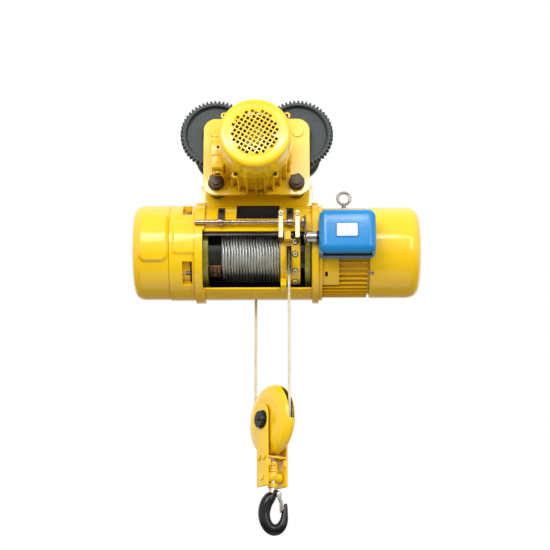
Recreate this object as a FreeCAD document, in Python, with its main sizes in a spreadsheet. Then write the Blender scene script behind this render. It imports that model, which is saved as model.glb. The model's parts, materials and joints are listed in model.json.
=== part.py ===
"""Electric wire rope hoist with a motor-driven beam trolley, as separate pieces.

Frame: X along the drum axis and the beam, towards the hoist motor; -Y is the front, where the
window, the limit rod and the trolley motor are; +Z up.  The origin lies midway between the
trolley wheels, under the beam's web, at the height where the wheels tread on the beam's flange.
"""
import FreeCAD, Part
import math
import os

import Sketcher

Vector = FreeCAD.Vector
Rotation = FreeCAD.Rotation
Placement = FreeCAD.Placement

doc = FreeCAD.newDocument("WireRopeHoist")
sheet = doc.addObject("Spreadsheet::Sheet", "Sheet")

# ---------------------------------------------------------------- driving dimensions
DIMENSIONS = {
    "drum_drop": 242.0,         # drum axis below the wheel tread plane
    "barrel_radius": 71.3,      # bare drum
    "pitch_radius": 75.0,       # rope centre line on the drum
    "rope_diameter": 7.4,
    "drum_flange_radius": 97.0,
    "drum_half_length": 140.0,
    "winding_start": -92.0,     # first turn, at the rope clamp
    "rope_exit": 84.5,          # where the live fall leaves the drum
    "shell_radius": 125.0,
    "shell_bore": 119.0,
    "ring_radius": 134.0,
    "shell_left": -159.0,
    "shell_right": 161.0,
    "left_ring_end": -134.0,
    "window_left": -139.0,
    "window_right": 143.0,
    "gearbox_radius": 124.0,
    "gearbox_bore": 116.0,
    "gearbox_split": -226.0,
    "gearbox_end": -322.0,
    "fin_root_radius": 108.0,
    "fin_tip_radius": 118.0,
    "motor_start": 161.0,
    "motor_end": 291.0,
    "dome_radius": 120.0,
    "dome_end": 427.0,
    "shaft_radius": 9.0,
    "wheel_spacing": 216.0,
    "tread_radius": 57.0,
    "axle_radius": 15.0,
    "plate_inner": 105.0,       # half the gap between the trolley's side plates
    "plate_thickness": 10.0,
    "plate_half_width": 139.0,
    "plate_bottom": -118.0,
    "plate_top": 93.0,
    "stud_radius": 13.0,
    "stud_half_spacing": 105.0,
    "stud_height": -86.0,
    "trolley_cover_radius": 90.0,
    "rod_radius": 6.0,
    "rod_depth": -135.0,        # limit rod axis, across the hoist
    "rod_rise": 42.0,           # limit rod axis above the drum axis
    "sheave_pitch_radius": 80.0,
    "sheave_rim_radius": 86.0,
    "sheave_drop": 453.0,       # sheave centre below the drum axis
    "guard_radius": 94.5,
    "strap_half_width": 24.5,
    "strap_inner": 25.8,        # half the gap between the hook block's straps
    "strap_outer": 31.8,
    "hook_shank_radius": 10.0,
}


class Dim:
    """A length that knows its number and the spreadsheet expression it comes from."""

    def __init__(self, value, text=None):
        self.value = float(value)
        self.text = text if text is not None else repr(float(value))

    def _join(self, other, sign, value):
        return Dim(value, f"({self.text} {sign} {as_dim(other).text})")

    def __add__(self, other):
        return self._join(other, "+", self.value + as_dim(other).value)

    def __sub__(self, other):
        return self._join(other, "-", self.value - as_dim(other).value)

    def __mul__(self, other):
        return self._join(other, "*", self.value * as_dim(other).value)

    def __truediv__(self, other):
        return self._join(other, "/", self.value / as_dim(other).value)

    def __radd__(self, other):
        return as_dim(other) + self

    def __rsub__(self, other):
        return as_dim(other) - self

    def __rmul__(self, other):
        return as_dim(other) * self

    def __neg__(self):
        return Dim(-self.value, f"(0 - {self.text})")

    def __float__(self):
        return self.value


def as_dim(value):
    return value if isinstance(value, Dim) else Dim(value)


dims = {}
for row, (alias, number) in enumerate(DIMENSIONS.items(), start=1):
    sheet.set(f"A{row}", alias)
    sheet.set(f"B{row}", str(number))
    sheet.setAlias(f"B{row}", alias)
    dims[alias] = Dim(number, f"Sheet.{alias}")
doc.recompute()

drum_z = -dims["drum_drop"]
DRUM_Z = float(drum_z)
IDENTITY = Placement()

# Turns a piece built along its own X axis to lie along another axis.
ALONG = {
    "x": Rotation(),
    "y": Rotation(Vector(0, 0, 1), 90),
    "z": Rotation(Vector(0, 1, 0), -90),
}
# A cylinder primitive is built along Z.
CYLINDER_ALONG = {
    "x": Rotation(Vector(0, 1, 0), 90),
    "y": Rotation(Vector(1, 0, 0), -90),
    "z": Rotation(),
}
# Turns X to Y, Y to Z and Z to X, so that a sector's opening angle starts at +Y.
Z_TO_X = Rotation(Vector(1, 1, 1), 120)
AXIS = {"x": Vector(1, 0, 0), "y": Vector(0, 1, 0), "z": Vector(0, 0, 1)}

pieces = {}


def piece(name, made):
    """Names an object as a finished piece of the hoist."""
    made.Label = name
    pieces[name] = made
    return made


def bind(obj, prop, size):
    """Sets a property and ties it to its spreadsheet expression."""
    size = as_dim(size)
    setattr(obj, prop, size.value)
    if "Sheet" in size.text:
        obj.setExpression(prop, size.text)


def locate(obj, place, at):
    """Puts an object in place, with its base tied to the sheet when it isn't rotated twice."""
    base = Vector(*(float(as_dim(value)) for value in at))
    obj.Placement = place
    obj.Placement.Base = base
    for letter, value in zip("xyz", at):
        if "Sheet" in as_dim(value).text:
            obj.setExpression(f"Placement.Base.{letter}", as_dim(value).text)


def moved(frame, base, rotation):
    return frame.multiply(Placement(base, rotation))


# ---------------------------------------------------------------- shape helpers
def cylinder(radius, start, end, centre=(0, 0), along="x", angle=360.0, frame=None):
    """A round bar between two stations on its axis; centre gives the two other coordinates."""
    made = doc.addObject("Part::Cylinder", "Bar")
    bind(made, "Radius", radius)
    bind(made, "Height", as_dim(end) - start)
    made.Angle = angle
    first, second = centre
    at = {"x": (start, first, second), "y": (first, start, second), "z": (first, second, start)}[along]
    if frame is None:
        locate(made, Placement(Vector(), CYLINDER_ALONG[along]), at)
    else:
        base = Vector(*(float(as_dim(value)) for value in at))
        made.Placement = moved(frame, base, CYLINDER_ALONG[along])
    return made


def box(low, high, frame=None):
    made = doc.addObject("Part::Box", "Block")
    for prop, near, far in zip(("Length", "Width", "Height"), low, high):
        bind(made, prop, as_dim(far) - near)
    if frame is None:
        locate(made, Placement(), low)
    else:
        base = Vector(*(float(as_dim(value)) for value in low))
        made.Placement = moved(frame, base, Rotation())
    return made


def fuse(*shapes):
    if len(shapes) == 1:
        return shapes[0]
    made = doc.addObject("Part::MultiFuse", "Union")
    made.Shapes = list(shapes)
    return made


def cut(base, *tools):
    made = doc.addObject("Part::Cut", "Cut")
    made.Base = base
    made.Tool = fuse(*tools)
    return made


def common(first, second):
    made = doc.addObject("Part::MultiCommon", "Common")
    made.Shapes = [first, second]
    return made


def group(*shapes):
    """Several separate solids in one piece, such as a set of identical fasteners."""
    made = doc.addObject("Part::Compound", "Group")
    made.Links = list(shapes)
    return made


def tube(outer, inner, start, end, centre=(0, 0), along="x", frame=None):
    """A sleeve: a bar with a bore right through."""
    bar = cylinder(outer, start, end, centre, along, frame=frame)
    bore = cylinder(inner, as_dim(start) - 1, as_dim(end) + 1, centre, along, frame=frame)
    return cut(bar, bore)


def turned(name, profile, at=(0, 0, 0), along="x", frame=None):
    """A turned piece: a closed outline of (station, radius) points revolved about its axis."""
    body = doc.addObject("PartDesign::Body", name + "_body")
    plane = next(item for item in body.Origin.OriginFeatures if item.Role == "XZ_Plane")
    sketch = body.newObject("Sketcher::SketchObject", name + "_outline")
    sketch.AttachmentSupport = (plane, [""])
    sketch.MapMode = "FlatFace"
    points = [(as_dim(x), as_dim(r)) for x, r in profile]
    corners = [Vector(x.value, r.value, 0) for x, r in points]
    for near, far in zip(corners, corners[1:] + corners[:1]):
        sketch.addGeometry(Part.LineSegment(near, far), False)
    count = len(corners)
    for index in range(count):
        sketch.addConstraint(Sketcher.Constraint("Coincident", index, 2, (index + 1) % count, 1))
    for index, (x, r) in enumerate(points):
        for kind, size in (("DistanceX", x), ("DistanceY", r)):
            number = sketch.addConstraint(Sketcher.Constraint(kind, -1, 1, index, 1, size.value))
            if "Sheet" in size.text:
                sketch.setExpression(f"Constraints[{number}]", size.text)
    turning = body.newObject("PartDesign::Revolution", name + "_turning")
    turning.Profile = sketch
    turning.ReferenceAxis = (sketch, ["H_Axis"])
    turning.Angle = 360.0
    if frame is None:
        locate(body, Placement(Vector(), ALONG[along]), at)
    else:
        base = Vector(*(float(as_dim(value)) for value in at))
        body.Placement = moved(frame, base, ALONG[along])
    return body


def sector_ring(outer, inner, start, end, first_angle, last_angle, centre=(0, drum_z)):
    """Part of a ring about an X axis; angles run from +Y towards +Z, in degrees."""
    bar = cylinder(outer, start, end, centre, angle=last_angle - first_angle)
    bar.Placement.Rotation = Rotation(Vector(1, 0, 0), first_angle).multiply(Z_TO_X)
    bore = cylinder(inner, as_dim(start) - 1, as_dim(end) + 1, centre)
    return cut(bar, bore)


def rounded(base, radius, chosen):
    """Rounds the edges for which chosen(edge) is true."""
    doc.recompute()
    made = doc.addObject("Part::Fillet", "Rounded")
    made.Base = base
    picked = [index for index, edge in enumerate(base.Shape.Edges, start=1) if chosen(edge)]
    made.Edges = [(index, radius, radius) for index in picked]
    return made


def runs_along(axis):
    """Picks straight edges that lie along an axis."""
    direction = AXIS[axis]

    def test(edge):
        if edge.Curve.TypeId != "Part::GeomLine":
            return False
        return abs(abs(edge.Curve.Direction.dot(direction)) - 1.0) < 1e-6
    return test


def hexagon(across, start, end, centre, along, frame=None):
    """A hexagonal nut or bolt head."""
    made = doc.addObject("Part::Prism", "Hexagon")
    made.Polygon = 6
    made.Circumradius = across / math.sqrt(3.0)
    bind(made, "Height", as_dim(end) - start)
    first, second = centre
    at = {"x": (start, first, second), "y": (first, start, second), "z": (first, second, start)}[along]
    base = Vector(*(float(as_dim(value)) for value in at))
    made.Placement = moved(frame or IDENTITY, base, CYLINDER_ALONG[along])
    return made


def feature(name, shape):
    made = doc.addObject("Part::Feature", name)
    made.Shape = shape
    return made


# ---------------------------------------------------------------- gears
PRESSURE = math.radians(20.0)
ADDENDUM = 0.75                 # tip height in modules, short so that small pinions run freely
DEDENDUM = 1.2
BACKLASH = 0.16                 # mm taken off each tooth's width at the pitch circle


def involute(angle):
    return math.tan(angle) - angle


def gear_outline(teeth, module, phase):
    """Points of an involute gear's outline; phase is the first tooth's direction."""
    pitch = module * teeth / 2.0
    base = pitch * math.cos(PRESSURE)
    root = pitch - DEDENDUM * module
    tip = pitch + ADDENDUM * module
    half_tooth = (math.pi * module / 2.0 - BACKLASH) / (2.0 * pitch)
    flank_start = max(base, root)
    radii = [flank_start + (tip - flank_start) * step / 4.0 for step in range(5)]
    flank = []
    for radius in radii:
        pressure = math.acos(min(1.0, base / radius))
        flank.append((radius, half_tooth + involute(PRESSURE) - involute(pressure)))
    if root < base:
        flank.insert(0, (root, flank[0][1]))
    outline = []
    for tooth in range(teeth):
        middle = phase + 2.0 * math.pi * tooth / teeth
        outline += [(radius, middle - half) for radius, half in flank]
        outline += [(radius, middle + half) for radius, half in reversed(flank)]
    return outline


def gear(teeth, module, phase, start, end, centre, axis, bore=0.0):
    """A spur gear's toothed ring between two stations of its axis, as one solid."""
    first, second = centre

    def spot(radius, angle):
        flat = (first + radius * math.cos(angle), second + radius * math.sin(angle))
        return Vector(start, *flat) if axis == "x" else Vector(flat[0], start, flat[1])

    corners = [spot(radius, angle) for radius, angle in gear_outline(teeth, module, phase)]
    face = Part.Face(Part.makePolygon(corners + corners[:1]))
    solid = face.extrude(AXIS[axis] * (end - start))
    if bore:
        base = Vector(start - 1, first, second) if axis == "x" else Vector(first, start - 1, second)
        solid = solid.cut(Part.makeCylinder(bore, end - start + 2, base, AXIS[axis]))
    return feature("Toothed", solid)


def meshed_phase(teeth, partner_teeth, partner_phase, line):
    """Phase of a gear whose partner lies in direction line + 180 degrees from it."""
    partner_step = 2.0 * math.pi / partner_teeth
    partner_fraction = (line - partner_phase) / partner_step
    step = 2.0 * math.pi / teeth
    return line + math.pi - (0.5 - partner_fraction) * step


# ---------------------------------------------------------------- drum shell
def drum_shell():
    bore = dims["shell_bore"]
    left, right = dims["shell_left"], dims["shell_right"]
    window_left, window_right = dims["window_left"], dims["window_right"]
    casing = turned("shell", [
        (left, bore), (left, dims["ring_radius"]), (dims["left_ring_end"], dims["ring_radius"]),
        (dims["left_ring_end"], dims["shell_radius"]), (window_right + 2, dims["shell_radius"]),
        (window_right + 2, dims["ring_radius"]), (right, dims["ring_radius"]), (right, bore),
    ], at=(0, 0, drum_z))
    hangers = []
    for near in (-50.0, 40.0):
        low = (-146, near, drum_z + 113.5)
        high = (146, near + 10, drum_z + 178)
        plate = rounded(box(low, high), 14.0, lambda edge: runs_along("y")(edge)
                        and edge.CenterOfMass.z > DRUM_Z + 150)
        hangers.append(plate)
    spacing = dims["stud_half_spacing"]
    holes = [cylinder(13.3, -60, 60, (sign * spacing, dims["stud_height"]), "y") for sign in (-1, 1)]
    window = sector_ring(140, 100, window_left, window_right, 170.0, 245.7)
    rope_hole = cylinder(8, drum_z - 130, drum_z - 90, DEAD_END, "z")
    return cut(fuse(casing, *hangers), window, rope_hole, *holes)


# The two rope falls: the live one leaves the drum at its front, the dead one is anchored behind.
LIVE_END = (float(dims["rope_exit"]), -float(dims["pitch_radius"]))
fall_gap = 2.0 * float(dims["sheave_pitch_radius"])
DEAD_X = -3.8
DEAD_END = (DEAD_X, LIVE_END[1] + math.sqrt(fall_gap ** 2 - (LIVE_END[0] - DEAD_X) ** 2))
BLOCK_ANGLE = math.degrees(math.atan2(LIVE_END[1] - DEAD_END[1], LIVE_END[0] - DEAD_END[0]))
BLOCK_CENTRE = ((LIVE_END[0] + DEAD_END[0]) / 2.0, (LIVE_END[1] + DEAD_END[1]) / 2.0)
SHEAVE_Z = DRUM_Z - float(dims["sheave_drop"])
# The hook block's own frame: X towards the live fall, Y along the sheave's axle.
BLOCK = Placement(Vector(BLOCK_CENTRE[0], BLOCK_CENTRE[1], SHEAVE_Z),
                  Rotation(Vector(0, 0, 1), BLOCK_ANGLE))
# The hook's frame faces the front.
HOOK = Placement(Vector(BLOCK_CENTRE[0], BLOCK_CENTRE[1], SHEAVE_Z), Rotation())

piece("drum_shell", drum_shell())
piece("nameplate", sector_ring(126.2, 125.0, -52, 60, 116.0, 152.0))
piece("rope_anchor", cut(sector_ring(118.9, 98.5, -24, 16, -72.0, -48.0),
                         cylinder(4.1, drum_z - 130, drum_z - 80, DEAD_END, "z")))

# ---------------------------------------------------------------- hoist gearbox
# Teeth of each pair (pinion, wheel) and its module, from the motor to the drum.
FIRST_PAIR, FIRST_MODULE = (13, 57), 1.5
SECOND_PAIR, SECOND_MODULE = (14, 44), 2.0
THIRD_PAIR, THIRD_MODULE = (13, 39), 2.5


def centre_distance(pair, module):
    return module * sum(pair) / 2.0


SHAFT_A_DISTANCE = centre_distance(FIRST_PAIR, FIRST_MODULE)
SHAFT_B_DISTANCE = centre_distance(THIRD_PAIR, THIRD_MODULE)
SHAFT_GAP = centre_distance(SECOND_PAIR, SECOND_MODULE)
ANGLE_A = math.radians(150.0)
ANGLE_BETWEEN = math.acos((SHAFT_A_DISTANCE ** 2 + SHAFT_B_DISTANCE ** 2 - SHAFT_GAP ** 2)
                          / (2.0 * SHAFT_A_DISTANCE * SHAFT_B_DISTANCE))
ANGLE_B = ANGLE_A + ANGLE_BETWEEN
SHAFT_A = (SHAFT_A_DISTANCE * math.cos(ANGLE_A), DRUM_Z + SHAFT_A_DISTANCE * math.sin(ANGLE_A))
SHAFT_B = (SHAFT_B_DISTANCE * math.cos(ANGLE_B), DRUM_Z + SHAFT_B_DISTANCE * math.sin(ANGLE_B))
DRUM_AXIS = (0.0, DRUM_Z)
LINE_AB = math.atan2(SHAFT_B[1] - SHAFT_A[1], SHAFT_B[0] - SHAFT_A[0])


def gearbox_housing():
    split, left = dims["gearbox_split"], dims["shell_left"]
    casing = turned("housing", [
        (split, 117), (split, 126), (left, 126), (left, 112), (left - 13, 112), (left - 13, 40),
        (left - 35, 40), (left - 35, 117),
    ], at=(0, 0, drum_z))
    pad_block = rounded(box((-214, -131, drum_z - 38), (left, -90, drum_z + 45)), 10.0,
                        runs_along("y"))
    pad = common(pad_block, cylinder(130.5, -216, left, (0, drum_z)))
    pad = cut(pad, cylinder(120, -217, left + 1, (0, drum_z)))
    bearing_seat = cylinder(19, -195, -180, SHAFT_B)
    bolt_window = box((-191, -140, drum_z - 108), (-166, -60, drum_z - 57))
    bolt_recess = box((-192, -140, drum_z + 73), (-168, -54, drum_z + 112))
    pockets = cut(fuse(bolt_window, bolt_recess), cylinder(109, -200, -160, (0, drum_z)))
    return cut(fuse(casing, pad), bearing_seat, pockets)


def gearbox_cover():
    split, end = dims["gearbox_split"], dims["gearbox_end"]
    outer, bore = dims["gearbox_radius"], dims["gearbox_bore"]
    casing = turned("cover", [
        (split, bore), (split, outer), (end + 24, outer), (end + 13, outer - 3),
        (end + 5, outer - 10), (end + 1, outer - 19), (end, outer - 30), (end, 0), (end + 10, 0),
        (end + 10, outer - 32), (end + 14, bore - 8), (end + 22, bore),
    ], at=(0, 0, drum_z))
    pad_block = rounded(box((-300, -131, drum_z - 60), (-229, -80, drum_z + 70)), 14.0,
                        runs_along("y"))
    pad = common(pad_block, cylinder(130.0, -300, -229, (0, drum_z)))
    pad = cut(pad, cylinder(119, -301, -228, (0, drum_z)))
    bosses = [cylinder(24, end + 8, end + 28, spot) for spot in (DRUM_AXIS, SHAFT_A, SHAFT_B)]
    seats = [cylinder(19, end + 14, end + 29, spot) for spot in (DRUM_AXIS, SHAFT_A, SHAFT_B)]
    return cut(fuse(casing, pad, *bosses), *seats)


def gearbox_mid_plate():
    disc = cylinder(116, -240, -232, (0, drum_z))
    return cut(disc, cylinder(14, -241, -231, (0, drum_z)), cylinder(9.05, -241, -231, SHAFT_A),
               cylinder(13, -241, -231, SHAFT_B))


piece("gearbox_housing", gearbox_housing())
piece("gearbox_cover", gearbox_cover())
piece("gearbox_mid_plate", gearbox_mid_plate())

PHASE_INPUT = 0.0
PHASE_A_WHEEL = meshed_phase(FIRST_PAIR[1], FIRST_PAIR[0], PHASE_INPUT, ANGLE_A)
PHASE_A_PINION = 0.0
PHASE_B_WHEEL = meshed_phase(SECOND_PAIR[1], SECOND_PAIR[0], PHASE_A_PINION, LINE_AB)
PHASE_B_PINION = 0.0
PHASE_OUTPUT = meshed_phase(THIRD_PAIR[1], THIRD_PAIR[0], PHASE_B_PINION, ANGLE_B + math.pi)

input_pinion = gear(FIRST_PAIR[0], FIRST_MODULE, PHASE_INPUT, -291.0, -276.0, DRUM_AXIS, "x")
piece("input_shaft", fuse(cylinder(dims["shaft_radius"], -306, -292, (0, drum_z)),
                          cylinder(7.8, -292, -275, (0, drum_z)), input_pinion,
                          cylinder(dims["shaft_radius"], -275, 176, (0, drum_z))))
first_wheel = gear(FIRST_PAIR[1], FIRST_MODULE, PHASE_A_WHEEL, -290.0, -277.0, SHAFT_A, "x")
second_pinion = gear(SECOND_PAIR[0], SECOND_MODULE, PHASE_A_PINION, -266.0, -243.0, SHAFT_A, "x")
piece("first_stage_shaft", fuse(cylinder(9, -306, -232, SHAFT_A), first_wheel, second_pinion))
second_wheel = gear(SECOND_PAIR[1], SECOND_MODULE, PHASE_B_WHEEL, -264.0, -245.0, SHAFT_B, "x")
third_pinion = gear(THIRD_PAIR[0], THIRD_MODULE, PHASE_B_PINION, -229.0, -199.0, SHAFT_B, "x")
piece("second_stage_shaft", fuse(cylinder(10, -306, -181, SHAFT_B), second_wheel, third_pinion))
third_wheel = gear(THIRD_PAIR[1], THIRD_MODULE, PHASE_OUTPUT, -228.0, -200.0, DRUM_AXIS, "x")
piece("output_gear", cut(fuse(cylinder(26, -228, -128, (0, drum_z)), third_wheel),
                         cylinder(16, -229, -127, (0, drum_z))))

# ---------------------------------------------------------------- drum, clamp and winding
half = dims["drum_half_length"]
barrel, flange = dims["barrel_radius"], dims["drum_flange_radius"]
piece("drum", turned("drum", [
    (-half, 26.0), (-half, flange), (14 - half, flange), (14 - half, barrel), (half - 14, barrel),
    (half - 14, flange), (half, flange), (half, 30), (half - 12, 30), (half - 12, 63),
    (12 - half, 63), (12 - half, 26.0),
], at=(0, 0, drum_z)))
clamp_block = sector_ring(80.0, barrel, -124, -94, 222.0, 250.0)
clamp_screws = []
for clamp_angle in (229.0, 243.0):
    turn = Rotation(Vector(1, 0, 0), clamp_angle)
    centre = Vector(-109, 0, DRUM_Z) + turn.multVec(Vector(0, 78, 0))
    screw = doc.addObject("Part::Cylinder", "ClampScrew")
    screw.Radius = 5.0
    screw.Height = 6.5
    screw.Placement = Placement(centre, turn.multiply(Rotation(Vector(0, 0, 1), Vector(0, 1, 0))))
    clamp_screws.append(screw)
piece("rope_clamp", fuse(clamp_block, *clamp_screws))
winding_radius = dims["pitch_radius"] + dims["rope_diameter"] / 2
piece("rope_winding", tube(winding_radius, barrel, dims["winding_start"],
                           dims["rope_exit"] + dims["rope_diameter"] / 2, (0, drum_z)))


# ---------------------------------------------------------------- rope guide
def guide_ring():
    ring = tube(96, 80, 62.6, 90, (0, drum_z))
    front = sector_ring(101, 90, 62.6, 90, 172.0, 248.0)
    lug = box((72, -128, drum_z - 2), (89.5, -95, drum_z + 19.5))
    foot_stem = sector_ring(129.5, 99, 62.6, 78, 237.0, 243.5)
    foot_lip = sector_ring(129.5, 125.6, 62.6, 78, 237.0, 250.0)
    slot = box((79.5, -135, drum_z - 82), (89.5, -70.5, drum_z - 12.5))
    rope_way = box((79.5, -82, drum_z - 110), (89.5, -70.5, drum_z - 12.5))
    return cut(fuse(ring, front, lug, foot_stem, foot_lip), slot, rope_way)


def guide_arms():
    """Two upright strips in front of the limit rod, each on a foot that sits on the guide."""
    arms = []
    for left, seat in ((57.9, 101.0), (100.9, 104.0)):
        strip = box((left, -150, drum_z - 4), (left + 11.5, -146, drum_z + 66))
        foot = box((left + 1, -146, drum_z - 4), (left + 10.5, -90, drum_z + 8))
        foot = cut(foot, cylinder(seat, left, left + 12, DRUM_AXIS))
        head = cylinder(4.5, -153.5, -150, (left + 5.75, drum_z + 59), "y")
        arms.append(fuse(strip, foot, head))
    return group(*arms)


piece("guide_ring", guide_ring())
piece("guide_plate", sector_ring(104, 80.2, 90.3, 113.6, 169.0, 249.0))
piece("guide_arms", guide_arms())

# ---------------------------------------------------------------- limit rod and limiter box
ROD_AXIS = (dims["rod_depth"], drum_z + dims["rod_rise"])
PLUNGER_AXIS = (-149.5, drum_z - 4)


def rod_brackets():
    """Rings round the limit rod, each on a strap that is curved to the drum shell."""
    brackets = []
    for middle in (-91.0, 87.5):
        near, far = middle - 6, middle + 6
        web = sector_ring(142, dims["shell_radius"], near, far, 153.0, 161.0)
        strap = sector_ring(128.2, dims["shell_radius"], middle - 9.3, middle + 9.3, 130.0, 156.0)
        turn = Rotation(Vector(1, 0, 0), 141.0)
        screw = cylinder(5.0, 0, 4.5, (0, 0), "z")
        spot = Vector(middle, 0, DRUM_Z) + turn.multVec(Vector(0, 127.5, 0))
        screw.Placement = Placement(spot, turn.multiply(Rotation(Vector(0, 0, 1), Vector(0, 1, 0))))
        solid = fuse(cylinder(9.5, near, far, ROD_AXIS), web, strap, screw)
        rod_hole = cylinder(dims["rod_radius"] + 0.06, near - 1, far + 1, ROD_AXIS)
        brackets.append(cut(solid, rod_hole))
    return group(*brackets)


piece("rod_brackets", rod_brackets())
piece("limit_rod", fuse(cylinder(dims["rod_radius"], -158, 129, ROD_AXIS),
                        tube(15, 5.9, 118.6, 124.5, ROD_AXIS)))
link = cut(box((124.5, -160, drum_z - 20), (128.5, -128, drum_z + 54)),
           cylinder(dims["rod_radius"], 120, 130, ROD_AXIS))
piece("limit_plunger", fuse(link, cylinder(14, 128.5, 174, PLUNGER_AXIS)))


def faces_front(edge):
    return edge.CenterOfMass.y < -135


limiter_base = box((161.4, -131, drum_z - 55), (306, -127.5, drum_z + 60))
piece("limiter_base", rounded(limiter_base, 14.0, runs_along("y")))
limiter_outer = rounded(box((161.2, -190, drum_z - 57), (307, -131, drum_z + 62)), 20.0, faces_front)
limiter_hollow = rounded(box((165.2, -186, drum_z - 53), (303, -130, drum_z + 58)), 16.0, faces_front)
piece("limiter_cover", cut(limiter_outer, limiter_hollow, cylinder(14.4, 150, 180, PLUNGER_AXIS)))


# ---------------------------------------------------------------- hoist motor
def finned(inner, root, tip, fins, width, start, end, centre, axis):
    """A tube with lengthwise cooling fins, drawn as one outline and extruded."""
    first, second = centre
    outline = []
    for index in range(fins):
        middle = 2.0 * math.pi * index / fins
        low = math.asin(width / 2.0 / root)
        high = math.asin(width * 0.38 / tip)
        outline += [(root, middle - low), (tip, middle - high), (tip, middle + high), (root, middle + low)]
    corners = []
    for radius, angle in outline:
        flat = (first + radius * math.cos(angle), second + radius * math.sin(angle))
        corners.append(Vector(start, *flat) if axis == "x" else Vector(flat[0], start, flat[1]))
    face = Part.Face(Part.makePolygon(corners + corners[:1]))
    solid = face.extrude(AXIS[axis] * (end - start))
    base = Vector(start - 1, first, second) if axis == "x" else Vector(first, start - 1, second)
    return feature("Finned", solid.cut(Part.makeCylinder(inner, end - start + 2, base, AXIS[axis])))


def motor_frame():
    start, end = dims["motor_start"], dims["motor_end"]
    fins = finned(100.0, float(dims["fin_root_radius"]), float(dims["fin_tip_radius"]), 48, 3.4,
                  float(start) + 9, float(end) - 4, DRUM_AXIS, "x")
    collar = tube(126.5, 95, start, start + 10, (0, drum_z))
    rim = tube(110, 100, end - 5, end, (0, drum_z))
    mount = common(box((200, -127.5, drum_z - 30), (280, -100, drum_z + 34)),
                   cylinder(140, 190, 290, (0, drum_z)))
    flat = sector_ring(118.4, 104, start + 9, 214, 190.0, 242.0)
    boss = cylinder(12, drum_z + 104, drum_z + 119, (231, 0), "z")
    return fuse(fins, collar, rim, mount, flat, boss)


def motor_end_shield():
    start = dims["motor_start"]
    disc = turned("shield", [
        (126, 13), (126, 20), (start - 2, 20), (start, 94.8), (start + 8, 94.8), (start + 10, 31),
        (start + 27, 31), (start + 27, 24), (start + 15, 24), (start + 15, 13),
    ], at=(0, 0, drum_z))
    return disc


def motor_rear_cover():
    end, outer = dims["dome_end"], dims["dome_radius"]
    return turned("dome", [
        (293, outer - 8), (293, outer - 2), (296, outer), (end - 40, outer), (end - 25, outer - 3),
        (end - 12, outer - 11), (end - 4, outer - 23), (end, outer - 40), (end, 0), (end - 7, 0),
        (end - 7, outer - 42), (end - 14, outer - 28), (end - 24, outer - 16), (end - 36, outer - 10),
        (end - 48, outer - 8), (376, outer - 8), (376, 95.8), (350, 104.5), (350, outer - 8),
    ], at=(0, 0, drum_z))


def brake_fan():
    rim = turned("fan", [
        (330, 12.0), (330, 24), (340, 26), (346, 92), (349, 103.2), (351, 103.9), (374, 96.2),
        (374, 90), (354, 90), (352, 30), (385, 24), (385, 12.0),
    ], at=(0, 0, drum_z))
    blades = []
    for index in range(10):
        blade = doc.addObject("Part::Box", "Blade")
        blade.Length = 22.0
        blade.Width = 62.0
        blade.Height = 3.0
        turn = Rotation(Vector(1, 0, 0), 36.0 * index)
        blade.Placement = Placement(Vector(351, 0, DRUM_Z) + turn.multVec(Vector(0, 28, -1.5)), turn)
        blades.append(blade)
    return fuse(rim, *blades)


piece("motor_frame", motor_frame())
piece("motor_end_shield", motor_end_shield())
piece("motor_rear_shield", turned("rear_shield", [
    (291, 22.06), (291, 110), (295, 110), (295, 112), (304, 112), (304, 106), (299, 104), (299, 34),
    (316, 32), (316, 22.06),
], at=(0, 0, drum_z)))
piece("motor_rear_cover", motor_rear_cover())
piece("motor_rotor", cut(turned("rotor", [
    (166, 0), (166, 12), (196, 12), (196, 61.7), (276, 71.7), (276, 12), (395, 12), (395, 0),
], at=(0, 0, drum_z)), cylinder(9.06, 165, 180, (0, drum_z))))
piece("rotor_bearing", tube(22, 12.04, 300, 312, (0, drum_z)))
piece("brake_fan", brake_fan())
piece("eye_bolt", cut(fuse(cylinder(6, drum_z + 119, drum_z + 135.5, (231, 0), "z"),
                           cylinder(11, drum_z + 119, drum_z + 123, (231, 0), "z"),
                           turned("eye", [(-3.2, 13.8), (-3.2, 15.2), (-2.2, 18.6), (-0.8, 20),
                                          (0.8, 20), (2.2, 18.6), (3.2, 15.2), (3.2, 13.8)],
                                  at=(231, 0, drum_z + 152), along="y")),
                      cylinder(13.8, -10, 10, (231, drum_z + 152), "y")))


def housing_bolts():
    bolts = []
    for height, depth in ((-83.0, -94.0), (80.0, -87.0)):
        bolts.append(hexagon(10.0, -182, -170, (depth, drum_z + height), "x"))
    turn = Rotation(Vector(1, 0, 0), 222.6)
    cover_screw = cylinder(5.0, 0, 3.5, (0, 0), "z")
    spot = Vector(299, 0, DRUM_Z) + turn.multVec(Vector(0, float(dims["dome_radius"]), 0))
    cover_screw.Placement = Placement(spot, turn.multiply(Rotation(Vector(0, 0, 1), Vector(0, 1, 0))))
    bolts.append(cover_screw)
    return group(*bolts)


def shaft_bearings():
    rings = [tube(19, 9.04, -306, -294, SHAFT_A), tube(19, 10.04, -306, -294, SHAFT_B),
             tube(19, 9.04, -306, -294, (0, drum_z)), tube(19, 10.04, -193, -181, SHAFT_B),
             tube(40, 26.05, -192, -174, (0, drum_z)), tube(29.95, 20, 129, 139, (0, drum_z)),
             tube(24, 12.04, 176, 187, (0, drum_z))]
    return rings


piece("housing_bolts", housing_bolts())

# ---------------------------------------------------------------- trolley
half_wheelbase = dims["wheel_spacing"] / 2
wheel_z = dims["tread_radius"]
plate_in, plate_out = dims["plate_inner"], dims["plate_inner"] + dims["plate_thickness"]
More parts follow.
